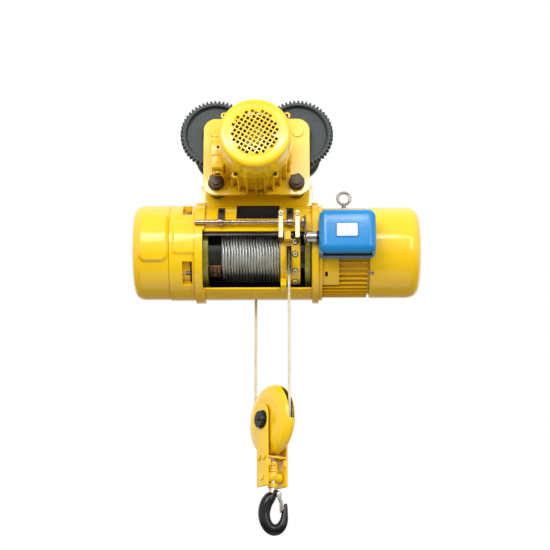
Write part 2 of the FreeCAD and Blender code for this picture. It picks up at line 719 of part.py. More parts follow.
# Teeth of each pair (pinion, wheel) and its module, from the trolley motor to the wheels.
MOTOR_PAIR, MOTOR_MODULE = (12, 49), 1.5
WHEEL_PAIR, WHEEL_MODULE = (14, 52), 3.5
WHEEL_DISTANCE = centre_distance(WHEEL_PAIR, WHEEL_MODULE)
PINION_Z = float(wheel_z) - math.sqrt(WHEEL_DISTANCE ** 2 - float(half_wheelbase) ** 2)
MOTOR_Z = PINION_Z - centre_distance(MOTOR_PAIR, MOTOR_MODULE)
PINION_AXIS = (0.0, PINION_Z)
MOTOR_AXIS = (0.0, MOTOR_Z)


def side_plate(near, far, shaft_hole):
    width = dims["plate_half_width"]
    blank = box((-width, near, dims["plate_bottom"]), (width, far, dims["plate_top"]))
    blank = rounded(blank, 32.0, runs_along("y"))
    holes = [cylinder(13.3, as_dim(near) - 1, as_dim(far) + 1,
                      (sign * dims["stud_half_spacing"], dims["stud_height"]), "y") for sign in (-1, 1)]
    holes += [cylinder(dims["axle_radius"], as_dim(near) - 1, as_dim(far) + 1,
                       (sign * half_wheelbase, wheel_z), "y") for sign in (-1, 1)]
    if shaft_hole:
        holes.append(cylinder(20, as_dim(near) - 1, as_dim(far) + 1, PINION_AXIS, "y"))
    return cut(blank, *holes)


piece("drive_side_plate", side_plate(-plate_out, -plate_in, True))
piece("idler_side_plate", side_plate(plate_in, plate_out, False))

studs, nuts, spacers = [], [], []
for sign in (-1, 1):
    spot = (sign * dims["stud_half_spacing"], dims["stud_height"])
    studs.append(cylinder(dims["stud_radius"], -143, 143, spot, "y"))
    for side in (-1, 1):
        near, far = sorted((side * 120.0, side * 136.0))
        nuts.append(cut(hexagon(36.0, near, far, spot, "y"), cylinder(13, near - 1, far + 1, spot, "y")))
        near, far = sorted((side * 115.0, side * 120.0))
        spacers.append(tube(21, 13, near, far, spot, "y"))
        near, far = sorted((side * 50.0, side * 105.0))
        spacers.append(tube(21, 13.3, near, far, spot, "y"))
piece("hanger_studs", group(*studs))
piece("stud_nuts_and_spacers", group(*nuts, *spacers))

axles, wheel_rings = [], []
for sign in (-1, 1):
    spot = (sign * half_wheelbase, wheel_z)
    for side in (-1, 1):
        near, far = sorted((side * 38.0, side * 118.0))
        axles.append(cylinder(dims["axle_radius"], near, far, spot, "y"))
        for inner, outer in ((43.0, 55.0), (85.0, 97.0)):
            near, far = sorted((side * inner, side * outer))
            wheel_rings.append(tube(20, dims["axle_radius"], near, far, spot, "y"))
wheel_rings.append(tube(20, 12.04, -115, -105, PINION_AXIS, "y"))
piece("wheel_axles", group(*axles))
piece("bearings", group(*shaft_bearings(), *wheel_rings))

PHASE_PINION = math.pi / 2.0
LINE_RIGHT = math.atan2(float(wheel_z) - PINION_Z, float(half_wheelbase))
LINE_LEFT = math.pi - LINE_RIGHT


def wheel_blank(name, x, side, lip, rim):
    """A tread wheel: hub, web, tread and guiding flange; side is -1 in front of the beam."""
    tread = dims["tread_radius"]
    profile = [(40, 20.05), (40, tread - 1.5), (71, tread), (71, lip - 2), (73, lip), (81, lip), (81, rim),
               (93, rim), (93, rim - 3), (89, rim - 5), (89, 36), (98, 33), (98, 20.05)]
    return turned(name, [(side * station, radius) for station, radius in profile],
                  at=(x, 0, wheel_z), along="y")


for name, sign, line in (("left", -1, LINE_LEFT), ("right", 1, LINE_RIGHT)):
    x = sign * half_wheelbase
    phase = meshed_phase(WHEEL_PAIR[1], WHEEL_PAIR[0], PHASE_PINION, line)
    toothed = gear(WHEEL_PAIR[1], WHEEL_MODULE, phase, -101.0, -81.0, (float(x), float(wheel_z)), "y",
                   bore=80.0)
    piece(f"geared_wheel_{name}", fuse(wheel_blank(f"geared_{name}", x, -1, 67, 81), toothed))
    piece(f"idler_wheel_{name}", wheel_blank(f"idler_{name}", x, 1, 62.5, 61.5))

PHASE_BIG = meshed_phase(MOTOR_PAIR[1], MOTOR_PAIR[0], math.pi / 2.0, math.pi / 2.0)
wheel_pinion = gear(WHEEL_PAIR[0], WHEEL_MODULE, PHASE_PINION, -102.0, -80.0, PINION_AXIS, "y")
big_wheel = gear(MOTOR_PAIR[1], MOTOR_MODULE, PHASE_BIG, -131.0, -120.0, PINION_AXIS, "y")
piece("trolley_pinion", fuse(cylinder(12, -131, -79, PINION_AXIS, "y"), wheel_pinion, big_wheel))


def stadium(radius, near, far):
    top = cylinder(radius, near, far, PINION_AXIS, "y")
    bottom = cylinder(radius, near, far, MOTOR_AXIS, "y")
    return fuse(top, bottom, box((-radius, near, MOTOR_Z), (radius, far, PINION_Z)))


def trolley_motor_frame():
    fins = finned(68.0, 78.0, 91.0, 24, 6.0, -238.0, -118.0, MOTOR_AXIS, "y")
    disc = cut(cylinder(72, -151, -141, MOTOR_AXIS, "y"), cylinder(15, -152, -140, MOTOR_AXIS, "y"))
    return cut(fuse(fins, disc), stadium(44.6, -140.9, -110))


def grille_holes():
    """Square holes in rows turned out of level, inside the round field of the fan grille."""
    pitch, side, field = 11.2, 7.8, 62.0
    turn = Rotation(Vector(0, 1, 0), 31.0)
    holes = []
    reach = int(field / pitch) + 1
    for row in range(-reach, reach + 1):
        for column in range(-reach, reach + 1):
            spot = Vector(column * pitch, 0, row * pitch)
            if spot.Length > field - side / 2:
                continue
            block = Part.makeBox(side, 8, side, Vector(-side / 2, -4, -side / 2))
            block.Placement = Placement(Vector(0, -334, MOTOR_Z) + turn.multVec(spot), turn)
            holes.append(block)
    return feature("GrilleHoles", Part.makeCompound(holes))


def trolley_fan_cover():
    radius = dims["trolley_cover_radius"]
    cup = turned("fan_cover", [
        (-335, 0), (-335, radius - 22), (-332, radius - 10), (-325, radius - 2), (-316, radius),
        (-240, radius + 2), (-240, radius - 1), (-316, radius - 3), (-324, radius - 5),
        (-330, radius - 12), (-332, radius - 22), (-332, 0),
    ], at=(0, 0, MOTOR_Z), along="y")
    ears = []
    for angle, reach in ((44.5, 113.0), (135.5, 113.0), (238.0, 97.0), (302.0, 97.0)):
        x = reach * math.cos(math.radians(angle))
        z = MOTOR_Z + reach * math.sin(math.radians(angle))
        turned_arm = Placement(Vector(0, 0, MOTOR_Z), Rotation(Vector(0, 1, 0), -angle))
        arm = box((80, -248, -8), (reach, -240, 8), frame=turned_arm)
        ears.append(cut(fuse(cylinder(8, -248, -240, (x, z), "y"), arm),
                        cylinder(90, -249, -239, MOTOR_AXIS, "y")))
    return cut(fuse(cup, *ears), grille_holes())


piece("trolley_gear_case", cut(stadium(44, -140.5, -115),
                               fuse(stadium(40, -136.5, -114), cylinder(8, -142, -130, MOTOR_AXIS, "y"))))
piece("trolley_motor_frame", trolley_motor_frame())
hoist_stator = turned("stator", [(196, 62.7), (196, 100), (276, 100), (276, 72.7)], at=(0, 0, drum_z))
piece("stator_cores", group(hoist_stator, tube(68, 46, -225, -160, MOTOR_AXIS, "y")))
piece("trolley_fan_cover", trolley_fan_cover())
fan_blades = []
for index in range(8):
    blade = doc.addObject("Part::Box", "FanBlade")
    blade.Length = 44.0
    blade.Width = 30.0
    blade.Height = 3.0
    turn = Rotation(Vector(0, 1, 0), 45.0 * index)
    blade.Placement = Placement(Vector(0, -300, MOTOR_Z) + turn.multVec(Vector(24, 0, -1.5)), turn)
    fan_blades.append(blade)
motor_pinion = gear(MOTOR_PAIR[0], MOTOR_MODULE, math.pi / 2.0, -133.0, -119.0, MOTOR_AXIS, "y")
piece("trolley_rotor", fuse(cylinder(7, -310, -121, MOTOR_AXIS, "y"),
                            cylinder(45, -225, -160, MOTOR_AXIS, "y"),
                            motor_pinion,
                            cylinder(25, -302, -268, MOTOR_AXIS, "y"),
                            cylinder(72, -270, -267, MOTOR_AXIS, "y"), *fan_blades))
terminal = rounded(box((-116, -216, -82), (-80, -158, 27)), 6.0, lambda edge: edge.CenterOfMass.x < -100)
gland = tube(13, 8, -88, -82, (-97.5, -186), "z")
piece("terminal_box", fuse(cut(terminal, cylinder(91, -217, -157, MOTOR_AXIS, "y")), gland))

# ---------------------------------------------------------------- hook block
rim, pitch = dims["sheave_rim_radius"], dims["sheave_pitch_radius"]
piece("sheave", turned("sheave", [
    (-13, 16.05), (-13, 26), (-8.5, 26), (-8.5, rim), (-5.4, rim), (-4.5, pitch - 4.1),
    (4.5, pitch - 4.1), (5.4, rim), (8.5, rim), (8.5, 26), (13, 26), (13, 16.05),
], along="y", frame=BLOCK))
guard = dims["guard_radius"]
guard_half = [(22.3, 16.5), (22.3, 60), (19, 77), (13, 88), (6, 93), (0, guard)]
inner_half = [(19.8, 16.5), (19.8, 59), (16.5, 75), (11.5, 85), (9.5, 88.8), (5, 91), (0, guard - 2.7)]
guard_profile = [(-y, r) for y, r in guard_half] + [(y, r) for y, r in reversed(guard_half[:-1])]
guard_profile += inner_half + [(-y, r) for y, r in reversed(inner_half[:-1])]


def sheave_guard():
    shell = turned("guard", guard_profile, along="y", frame=BLOCK)
    slots = [box((low, -7.5, -8), (low + 62, 7.5, 92), frame=BLOCK) for low in (42, -104)]
    return cut(shell, *slots)


def block_straps():
    straps = []
    width, inner, outer = dims["strap_half_width"], dims["strap_inner"], dims["strap_outer"]
    for near, far in ((-outer, -inner), (inner, outer)):
        bar = box((-width, near, -172), (width, far, 12), frame=BLOCK)
        top = cylinder(width, near, far, (0, 12), "y", frame=BLOCK)
        holes = [cylinder(16, near - 1, far + 1, (0, 0), "y", frame=BLOCK),
                 cylinder(9.06, near - 1, far + 1, (0, -147.5), "y", frame=BLOCK)]
        straps.append(cut(fuse(bar, top), *holes))
    return group(*straps)


def block_bolts():
    bolts = []
    for near, far in ((-36.3, -31.8), (31.8, 36.3)):
        for x in (-12, 12):
            bolts.append(hexagon(13.0, near, far, (x, -98), "y", frame=BLOCK))
    return group(*bolts)


piece("sheave_guard", sheave_guard())
piece("block_straps", block_straps())
piece("block_bolts", block_bolts())
piece("block_tie_plate", box((-24, -25.8, -101), (24, 25.8, -96), frame=BLOCK))
piece("sheave_axle", cylinder(16, -41, 41, (0, 0), "y", frame=BLOCK))


def axle_nut(side):
    """A nut with its washer and grease nipple, on one end of the sheave's axle."""
    washer = cylinder(24.0, *sorted((side * 31.8, side * 33.0)), (0, 0), "y", frame=BLOCK)
    nut = hexagon(42.0, *sorted((side * 33.0, side * 42.5)), (0, 0), "y", frame=BLOCK)
    nipple = cylinder(5, *sorted((side * 42.0, side * 46.5)), (0, 0), "y", frame=BLOCK)
    return cut(fuse(washer, nut, nipple), cylinder(16, -41, 41, (0, 0), "y", frame=BLOCK))


piece("axle_nuts", group(axle_nut(-1), axle_nut(1)))
crosshead_body = fuse(cylinder(16, -147.5, -134, (0, 0), "z", frame=BLOCK),
                      cylinder(13.5, -25.4, 25.4, (0, -147.5), "y", frame=BLOCK),
                      cylinder(9, -34, 34, (0, -147.5), "y", frame=BLOCK))
piece("crosshead", cut(crosshead_body, cylinder(10.06, -170, -130, (0, 0), "z", frame=BLOCK)))
piece("thrust_bearing", tube(15.8, 10.3, -134, -128.2, (0, 0), "z", frame=BLOCK))
piece("hook_nut", tube(14, dims["hook_shank_radius"], -127.9, -107, (0, 0), "z", frame=HOOK))

# Hook bow: centre line and radius from the shank round to the tip, in the hook's frame.
HOOK_STATIONS = [
    (0, -185, 9.4), (-1, -191, 12.8), (-7, -200, 15.4), (-14.5, -212, 16), (-19, -227, 15.8),
    (-20.3, -243, 15.3), (-16.5, -260, 15), (-8, -273.5, 14.8), (4, -280, 14.8), (16, -277, 14),
    (25, -267.5, 12.3), (30, -254, 10.3), (31.3, -241, 8.6), (33, -226, 6.2), (34, -215, 4),
]
LATCH_PIVOT = Vector(17, 0, -190)


def hook():
    rings = []
    count = len(HOOK_STATIONS)
    for index, (x, z, radius) in enumerate(HOOK_STATIONS):
        before = HOOK_STATIONS[max(index - 1, 0)]
        after = HOOK_STATIONS[min(index + 1, count - 1)]
        heading = Vector(after[0] - before[0], 0, after[1] - before[1])
        if index == 0:
            heading = Vector(0, 0, -1)
        rings.append(Part.Wire(Part.makeCircle(radius, Vector(x, 0, z), heading)))
    bow = Part.makeLoft(rings, True, False)
    up = Vector(0, 0, 1)
    shank = Part.makeCylinder(float(dims["hook_shank_radius"]), 55.5, Vector(0, 0, -164.5), up)
    collar = Part.makeCylinder(11.5, 11.0, Vector(0, 0, -174), up)
    neck = Part.makeCylinder(9.0, 15.0, Vector(0, 0, -188), up)
    across = Vector(0, 1, 0)
    lug = Part.makeCylinder(7.0, 17.4, LATCH_PIVOT - across * 8.7, across)
    lug_root = Part.makeBox(17, 17.4, 11, Vector(0, -8.7, -196))
    solid = bow.fuse([shank, collar, neck, lug, lug_root]).removeSplitter()
    solid.Placement = HOOK.multiply(solid.Placement)
    return feature("HookBow", solid)


def latch():
    """A folded plate: a leaf inside the tip, with cheeks that straddle it and the pivot boss."""
    turn = Rotation(Vector(0, 1, 0), -2.0)
    leaf = Part.makeBox(1.8, 21, 37, Vector(0, -10.5, -47))
    cheeks = [Part.makeBox(12, 1.5, 35, Vector(1, low, -44)) for low in (-10.5, 9.0)]
    cheeks += [Part.makeBox(8, 1.5, 14, Vector(-2, low, -12)) for low in (-10.5, 9.0)]
    eyes = [Part.makeCylinder(6.0, 1.5, Vector(0, low, 0), Vector(0, 1, 0)) for low in (-10.5, 9.0)]
    solid = leaf.fuse(cheeks + eyes)
    solid.Placement = HOOK.multiply(Placement(LATCH_PIVOT, turn))
    return feature("LatchLeaf", solid)


piece("hook", hook())
piece("hook_latch", latch())


# ---------------------------------------------------------------- rope falls
def rope_falls():
    """The rope below the drum: down the live fall, round the sheave and up to the anchor."""
    radius = float(dims["sheave_pitch_radius"])
    live_top = Vector(LIVE_END[0], LIVE_END[1], DRUM_Z - 35)
    dead_top = Vector(DEAD_END[0], DEAD_END[1], DRUM_Z - 101)
    live_low = BLOCK.multVec(Vector(radius, 0, 0))
    dead_low = BLOCK.multVec(Vector(-radius, 0, 0))
    bottom = BLOCK.multVec(Vector(0, 0, -radius))
    path = Part.Wire([Part.LineSegment(live_top, live_low).toShape(),
                      Part.Arc(live_low, bottom, dead_low).toShape(),
                      Part.LineSegment(dead_low, dead_top).toShape()])
    rope_radius = float(dims["rope_diameter"]) / 2
    section = Part.Wire(Part.makeCircle(rope_radius, live_top, Vector(0, 0, -1)))
    solid = path.makePipeShell([section], True, False)
    print(f"rope falls {path.Length:.1f} mm long")
    return feature("RopePath", solid)


piece("rope_falls", rope_falls())

# ---------------------------------------------------------------- checks and files
doc.recompute()
for item in doc.Objects:
    if "Invalid" in item.State or "Error" in item.State:
        raise SystemExit(f"{item.Label} ({item.Name}) failed: {item.State}")
os.makedirs("parts", exist_ok=True)
for name, made in pieces.items():
    shape = made.Shape
    if shape.isNull() or not shape.isValid() or not shape.Solids:
        raise SystemExit(f"{name} has no valid solid")
    shape.exportStep(f"parts/{name}.step")
print(len(pieces), "pieces written")
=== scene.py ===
"""The looks of the wire rope hoist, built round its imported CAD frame.

The frame is in metres, +Z up.  Most pieces are drawn in millimetres and scaled once, in solid().
"""
import bpy
import bmesh
import json
import math
from mathutils import Matrix, Vector


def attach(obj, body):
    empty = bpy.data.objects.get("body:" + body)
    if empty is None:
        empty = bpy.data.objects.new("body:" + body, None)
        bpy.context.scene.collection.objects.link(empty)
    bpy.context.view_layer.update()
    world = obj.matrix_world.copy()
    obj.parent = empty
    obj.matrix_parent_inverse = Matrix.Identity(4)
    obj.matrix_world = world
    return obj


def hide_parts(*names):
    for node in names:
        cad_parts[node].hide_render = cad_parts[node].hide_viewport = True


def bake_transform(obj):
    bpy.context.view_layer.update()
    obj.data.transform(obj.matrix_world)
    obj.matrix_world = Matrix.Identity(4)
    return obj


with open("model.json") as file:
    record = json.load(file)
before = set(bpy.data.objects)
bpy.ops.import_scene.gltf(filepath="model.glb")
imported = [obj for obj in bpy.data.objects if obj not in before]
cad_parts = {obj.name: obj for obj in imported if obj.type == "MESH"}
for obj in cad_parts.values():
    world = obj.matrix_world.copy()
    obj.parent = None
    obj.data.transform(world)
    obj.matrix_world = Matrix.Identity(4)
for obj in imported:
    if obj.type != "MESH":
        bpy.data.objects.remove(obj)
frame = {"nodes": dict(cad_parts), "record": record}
scene = bpy.context.scene
nodes = frame["nodes"]


def note_size():
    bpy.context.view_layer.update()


note_size()

DRUM_Z_MM = -242.0
DRUM_Z = DRUM_Z_MM / 1000

# ---------------------------------------------------------------- camera, light and floor
camera_data = bpy.data.cameras.new("camera")
camera_data.sensor_width = 36.0
camera_data.lens = 111.55
camera_data.clip_end = 100.0
camera = bpy.data.objects.new("camera", camera_data)
scene.collection.objects.link(camera)
scene.camera = camera
CAMERA_UP = math.radians(16.7645)
CAMERA_YAW = math.radians(0.5708)
camera.location = (0.0901, -4.3, DRUM_Z - 1.3558)
camera.rotation_euler = (math.pi / 2 + CAMERA_UP, 0.0, CAMERA_YAW)

scene.view_settings.view_transform = "Standard"
scene.view_settings.look = "None"


def softbox(name, spot, aim, wide, tall, power):
    """A rectangular area light at a spot, turned towards its aim."""
    data = bpy.data.lights.new(name, "AREA")
    data.shape = "RECTANGLE"
    data.size, data.size_y = wide, tall
    data.energy = power
    lamp = bpy.data.objects.new(name, data)
    scene.collection.objects.link(lamp)
    lamp.location = spot
    lamp.rotation_euler = (Vector(aim) - Vector(spot)).to_track_quat("-Z", "Y").to_euler()


softbox("key", (-1.2, -3.1, 0.9), (0.0, 0.0, -0.3), 1.8, 1.2, 39.0)
softbox("fill", (2.1, -2.9, 0.2), (0.05, 0.0, -0.35), 1.0, 1.8, 23.0)
softbox("top", (0.2, 0.6, 2.6), (0.0, 0.0, -0.2), 2.4, 1.6, 3.0)
softbox("strip", (0.1, -2.8, 0.86), (0.05, 0.0, -0.24), 3.0, 0.06, 15.0)
softbox("patch", (0.37, -2.9, 1.05), (0.12, 0.0, 0.03), 0.5, 0.6, 5.0)

world = bpy.data.worlds.new("studio")
scene.world = world
world.use_nodes = True


class Tree:
    """Short names for building a node tree."""

    def __init__(self, tree):
        self.tree = tree

    def add(self, kind, **values):
        node = self.tree.nodes.new("ShaderNode" + kind)
        for key, value in values.items():
            setattr(node, key, value)
        return node

    def link(self, source, target):
        self.tree.links.new(source, target)

    def put(self, slot, value):
        """Links a socket into a slot, or sets the slot to a value; None leaves it alone."""
        if isinstance(value, bpy.types.NodeSocket):
            self.link(value, slot)
        elif value is not None:
            slot.default_value = value

    def math(self, operation, first, second=0.5, third=None):
        node = self.add("Math", operation=operation)
        for slot, value in zip(node.inputs, (first, second, third)):
            self.put(slot, value)
        return node.outputs[0]

    def mix(self, factor, first, second):
        node = self.add("Mix", data_type="RGBA")
        self.put(node.inputs[0], factor)
        self.put(node.inputs[6], rgba(first))
        self.put(node.inputs[7], rgba(second))
        return node.outputs[2]

    def ramp(self, source, stops):
        """A colour ramp through (place, grey or colour) stops."""
        node = self.add("ValToRGB")
        elements = node.color_ramp.elements
        while len(elements) < len(stops):
            elements.new(0.5)
        for element, (place, value) in zip(elements, stops):
            element.position = place
            element.color = rgba(value if isinstance(value, tuple) else (value,) * 3)
        self.link(source, node.inputs[0])
        return node.outputs[0]

    def place(self):
        """Where a point is on its piece."""
        return self.add("TexCoord").outputs["Object"]

    def parts_of(self, vector):
        node = self.add("SeparateXYZ")
        self.link(vector, node.inputs[0])
        return node.outputs


def rgba(colour):
    """A plain colour with its alpha added; anything else as it is."""
    return (*colour, 1.0) if isinstance(colour, tuple) and len(colour) == 3 else colour


sky = Tree(world.node_tree)
background = world.node_tree.nodes["Background"]
height = sky.parts_of(sky.add("TexCoord").outputs["Generated"])[2]
shade = sky.ramp(sky.math("MULTIPLY_ADD", height, 0.5, 0.5),
                 [(0.0, (0.26, 0.22, 0.17)), (0.36, (0.34, 0.30, 0.24)), (0.5, 1.0), (1.0, 1.0)])
sky.link(shade, background.inputs[0])


# ---------------------------------------------------------------- materials
def surface(name):
    """A new material, its tree and its shader."""
    made = bpy.data.materials.new(name)
    made.use_nodes = True
    tree = Tree(made.node_tree)
    return made, tree, made.node_tree.nodes["Principled BSDF"]


def noise(tree, where, scale, detail=3.0, roughness=0.5):
    node = tree.add("TexNoise")
    node.inputs["Scale"].default_value = scale
    node.inputs["Detail"].default_value = detail
    node.inputs["Roughness"].default_value = roughness
    tree.link(where, node.inputs["Vector"])
    return node.outputs["Fac"]


def gap_shade(tree, reach, strength):
    """How far a point lies inside a gap or corner, from 0 in the open to strength: the mask for
    painted shade in gaps.
    """
    node = tree.add("AmbientOcclusion", samples=12)
    node.inputs["Distance"].default_value = reach
    inside = tree.ramp(node.outputs["AO"], [(0.25, 1.0), (0.8, 0.0)])
    return tree.math("MULTIPLY", inside, strength)


def roughened(tree, shader, cloud, low, high):
    """Sets the roughness from one value to another over a cloud's range."""
    tree.link(tree.ramp(cloud, [(0.3, low), (0.7, high)]), shader.inputs["Roughness"])


def clouded(tree, cloud, first, second):
    """Two colours blended over a cloud's middle range."""
    return tree.mix(tree.ramp(cloud, [(0.35, 0.0), (0.65, 1.0)]), first, second)


def soften(tree, shader, height, strength, distance, edge):
    """Bump over a rounded-edge normal, so that corners catch light as cast or bent ones do."""
    bevel = tree.add("Bevel", samples=4)
    bevel.inputs["Radius"].default_value = edge
    bump = tree.add("Bump")
    bump.inputs["Strength"].default_value = strength
    bump.inputs["Distance"].default_value = distance
    tree.link(height, bump.inputs["Height"])
    tree.link(bevel.outputs[0], bump.inputs["Normal"])
    tree.link(bump.outputs[0], shader.inputs["Normal"])


def paint(name, light, dark, shade_and_wear, roughness=0.24, edge=0.0014, coat=0.25, ripple=0.10, wear=0.3,
          reach=0.012, shade_depth=0.7, gloss=0.5, inner_shade_radius=None):
    """Brushed or sprayed enamel: cloudy colour, painted shade in the gaps, small chips on the
    edges.

    With a radius given, everything nearer than that to the drum's axis is painted black, as the
    shade inside the drum shell.
    """
    made, tree, shader = surface(name)
    where = tree.place()
    cloud = noise(tree, where, 7.0, 4.0)
    colour = clouded(tree, cloud, light, dark)
    # Painted shade: gaps and corners are darkened towards the third colour.
    colour = tree.mix(gap_shade(tree, reach, shade_depth), colour, shade_and_wear)
    pointy = tree.add("NewGeometry").outputs["Pointiness"]
    chips = tree.math("MULTIPLY", tree.ramp(pointy, [(0.54, 0.0), (0.62, 1.0)]),
                      tree.ramp(noise(tree, where, 60.0, 6.0, 0.75), [(0.60, 0.0), (0.66, 1.0)]))
    colour = tree.mix(tree.math("MULTIPLY", chips, wear), colour, shade_and_wear)
    # Painted shade: the inside of the drum shell is black.
    if inner_shade_radius:
        y, z = tree.parts_of(where)[1:3]
        up = tree.math("SUBTRACT", z, DRUM_Z)
        radius = tree.math("SQRT", tree.math("MULTIPLY_ADD", up, up, tree.math("MULTIPLY", y, y)))
        colour = tree.mix(tree.math("LESS_THAN", radius, inner_shade_radius), colour, (0.006, 0.006, 0.006))
    tree.link(colour, shader.inputs["Base Color"])
    smear = noise(tree, where, 22.0, 4.0)
    roughened(tree, shader, smear, roughness - 0.06, roughness + 0.08)
    shader.inputs["Specular IOR Level"].default_value = gloss
    shader.inputs["Coat Weight"].default_value = coat
    shader.inputs["Coat Roughness"].default_value = 0.07
    soften(tree, shader, noise(tree, where, 120.0, 2.0), ripple, 0.0006, edge)
    return made


def metal(name, light, dark, roughness=0.35, metallic=1.0, grain=240.0, stretch=(1.0, 1.0, 1.0),
          bump=0.15, edge=0.0008, shade_depth=0.8, reach=0.008):
    """Bare or plated metal with a grain, with painted shade darkening its gaps."""
    made, tree, shader = surface(name)
    where = tree.place()
    mapping = tree.add("Mapping")
    mapping.inputs["Scale"].default_value = stretch
    tree.link(where, mapping.inputs["Vector"])
    fine = noise(tree, mapping.outputs[0], grain, 3.0)
    broad = noise(tree, where, 30.0, 4.0)
    blend = tree.math("MULTIPLY_ADD", broad, 0.5, tree.math("MULTIPLY", fine, 0.5))
    colour = clouded(tree, blend, dark, light)
    # Painted shade: gaps and corners go towards near-black.
    colour = tree.mix(gap_shade(tree, reach, shade_depth), colour, (0.012, 0.010, 0.008))
    tree.link(colour, shader.inputs["Base Color"])
    shader.inputs["Metallic"].default_value = metallic
    roughened(tree, shader, broad, roughness - 0.08, roughness + 0.12)
    soften(tree, shader, fine, bump, 0.0005, edge)
    return made


# Light and dark tones, then the colour of the painted shade in gaps and of the chipped wear on
# edges.
ENAMEL = ((0.97, 0.63, 0.006), (0.95, 0.58, 0.004), (0.30, 0.12, 0.004))
YELLOW = paint("yellow_enamel", *ENAMEL, coat=0.6, gloss=0.3)
# The shell's enamel, with its inside painted black as shade.
SHELL_YELLOW = paint("shell_enamel", *ENAMEL, coat=0.6, gloss=0.3, inner_shade_radius=0.1194)
BLUE = paint("blue_enamel", (0.004, 0.245, 0.60), (0.003, 0.21, 0.56), (0.002, 0.04, 0.12),
             edge=0.002, reach=0.010, coat=0.2, gloss=0.35)
BLACK = paint("black_enamel", (0.010, 0.011, 0.012), (0.006, 0.007, 0.008), (0.03, 0.027, 0.024),
              roughness=0.22, ripple=0.05, coat=0.1, gloss=0.25)
CAST_IRON = metal("cast_iron", (0.070, 0.082, 0.086), (0.020, 0.025, 0.027), roughness=0.50,
                  metallic=0.35, grain=420.0, bump=0.5, reach=0.012)
DARK_STEEL = metal("dark_steel", (0.16, 0.125, 0.095), (0.050, 0.040, 0.030), roughness=0.42,
                   metallic=0.6, grain=300.0, bump=0.35)
STEEL = metal("machined_steel", (0.55, 0.54, 0.52), (0.38, 0.37, 0.36), roughness=0.3)
NICKEL = metal("nickel_plate", (0.56, 0.45, 0.33), (0.34, 0.26, 0.18), roughness=0.24,
               stretch=(0.15, 1.0, 1.0))
CHROME = metal("chrome_plate", (0.62, 0.60, 0.58), (0.42, 0.41, 0.40), roughness=0.18, bump=0.04)
ZINC = metal("zinc_plate", (0.92, 0.84, 0.55), (0.74, 0.63, 0.34), roughness=0.42, metallic=0.35)
SILVER = metal("bright_zinc", (0.74, 0.73, 0.70), (0.52, 0.51, 0.49), roughness=0.26)
EYE_STEEL = metal("dull_zinc", (0.40, 0.39, 0.36), (0.22, 0.21, 0.19), roughness=0.26)
CLAMP = metal("bronzed_clamp", (0.30, 0.15, 0.075), (0.10, 0.05, 0.028), roughness=0.38,
              metallic=0.55)
WIRE = metal("wire_rope", (0.90, 0.94, 0.91), (0.50, 0.53, 0.51), roughness=0.34, metallic=0.85,
             grain=700.0, bump=0.4, edge=0.0003, shade_depth=0.95, reach=0.004)
FALL_WIRE = metal("fall_rope", (0.90, 0.86, 0.66), (0.68, 0.63, 0.42), roughness=0.45,
                  metallic=0.30, grain=700.0, bump=0.4, edge=0.0003, shade_depth=0.5, reach=0.002)
HOOK_BLACK = paint("hook_black", (0.006, 0.006, 0.007), (0.004, 0.004, 0.005),
                   (0.02, 0.018, 0.016), roughness=0.15, coat=0.5, ripple=0.12, wear=0.15,
                   gloss=0.1)
LABEL = paint("blank_label", (0.70, 0.80, 0.84), (0.66, 0.77, 0.82), (0.5, 0.55, 0.6),
              roughness=0.35, ripple=0.02, shade_depth=0.3)
PLATE = paint("blank_plate", (0.014, 0.012, 0.012), (0.009, 0.008, 0.008), (0.05, 0.045, 0.035),
              roughness=0.5, ripple=0.05, coat=0.0, gloss=0.06)
# Near-black used as painted shade in screw sockets, along the rope slot, under screw heads and
# under the switch lid.
HOLE = paint("dark_recess", (0.010, 0.008, 0.006), (0.006, 0.005, 0.004), (0.02, 0.02, 0.02),
             roughness=0.7, coat=0.0, gloss=0.1)


def split_paint(name, position, first, second, roughness, coat=0.15):
    """Two paints on one piece; position(tree, x, y, z) is 1 where the second one is."""
    made, tree, shader = surface(name)
    where = tree.place()
    chosen = position(tree, *tree.parts_of(where)[:3])
    cloud = noise(tree, where, 40.0, 5.0)
    shades = [clouded(tree, cloud, *pair) for pair in (first, second)]
    tree.link(tree.mix(chosen, *shades), shader.inputs["Base Color"])
    roughened(tree, shader, cloud, roughness - 0.08, roughness + 0.1)
    shader.inputs["Specular IOR Level"].default_value = 0.25
    shader.inputs["Coat Weight"].default_value = coat
    soften(tree, shader, cloud, 0.1, 0.0006, 0.001)
    return made


OLIVE = ((0.46, 0.42, 0.035), (0.26, 0.24, 0.02))
DRUM_PAINT = split_paint(
    "drum_paint",
    lambda tree, x, y, z: tree.math("GREATER_THAN", tree.math("ABSOLUTE", x), 0.1257),
    ((0.004, 0.004, 0.004), (0.016, 0.018, 0.016)), OLIVE, 0.24, coat=0.9)
ROTOR_PAINT = split_paint(
    "rotor_paint", lambda tree, x, y, z: tree.math("LESS_THAN", y, -0.245),
    ((0.30, 0.29, 0.28), (0.2, 0.19, 0.18)), ((0.62, 0.50, 0.06), (0.36, 0.29, 0.03)), 0.4)

BY_NODE = {
    "nameplate": PLATE, "drum_shell": SHELL_YELLOW, "drum": DRUM_PAINT, "rope_clamp": CLAMP,
    "rope_anchor": CAST_IRON, "hook": HOOK_BLACK, "eye_bolt": EYE_STEEL, "hook_latch": ZINC,
    "rod_brackets": DARK_STEEL, "wheel_axles": YELLOW, "trolley_rotor": ROTOR_PAINT,
    "thrust_bearing": YELLOW,
}
BY_SLOT = {
    "yellow_paint": YELLOW, "nameplate_black": PLATE, "cast_iron": CAST_IRON, "black_paint": BLACK,
    "blue_paint": BLUE, "rope_steel": WIRE, "machined_steel": STEEL, "dark_steel": DARK_STEEL,
    "nickel_plate": NICKEL, "chrome_plate": CHROME, "zinc_plate": ZINC,
}
slot_of = {item["node"]: item["material_slot"] for item in frame["record"]["subparts"]}
for name, node in nodes.items():
    node.data.materials.clear()
    node.data.materials.append(BY_NODE.get(name) or BY_SLOT[slot_of[name]])

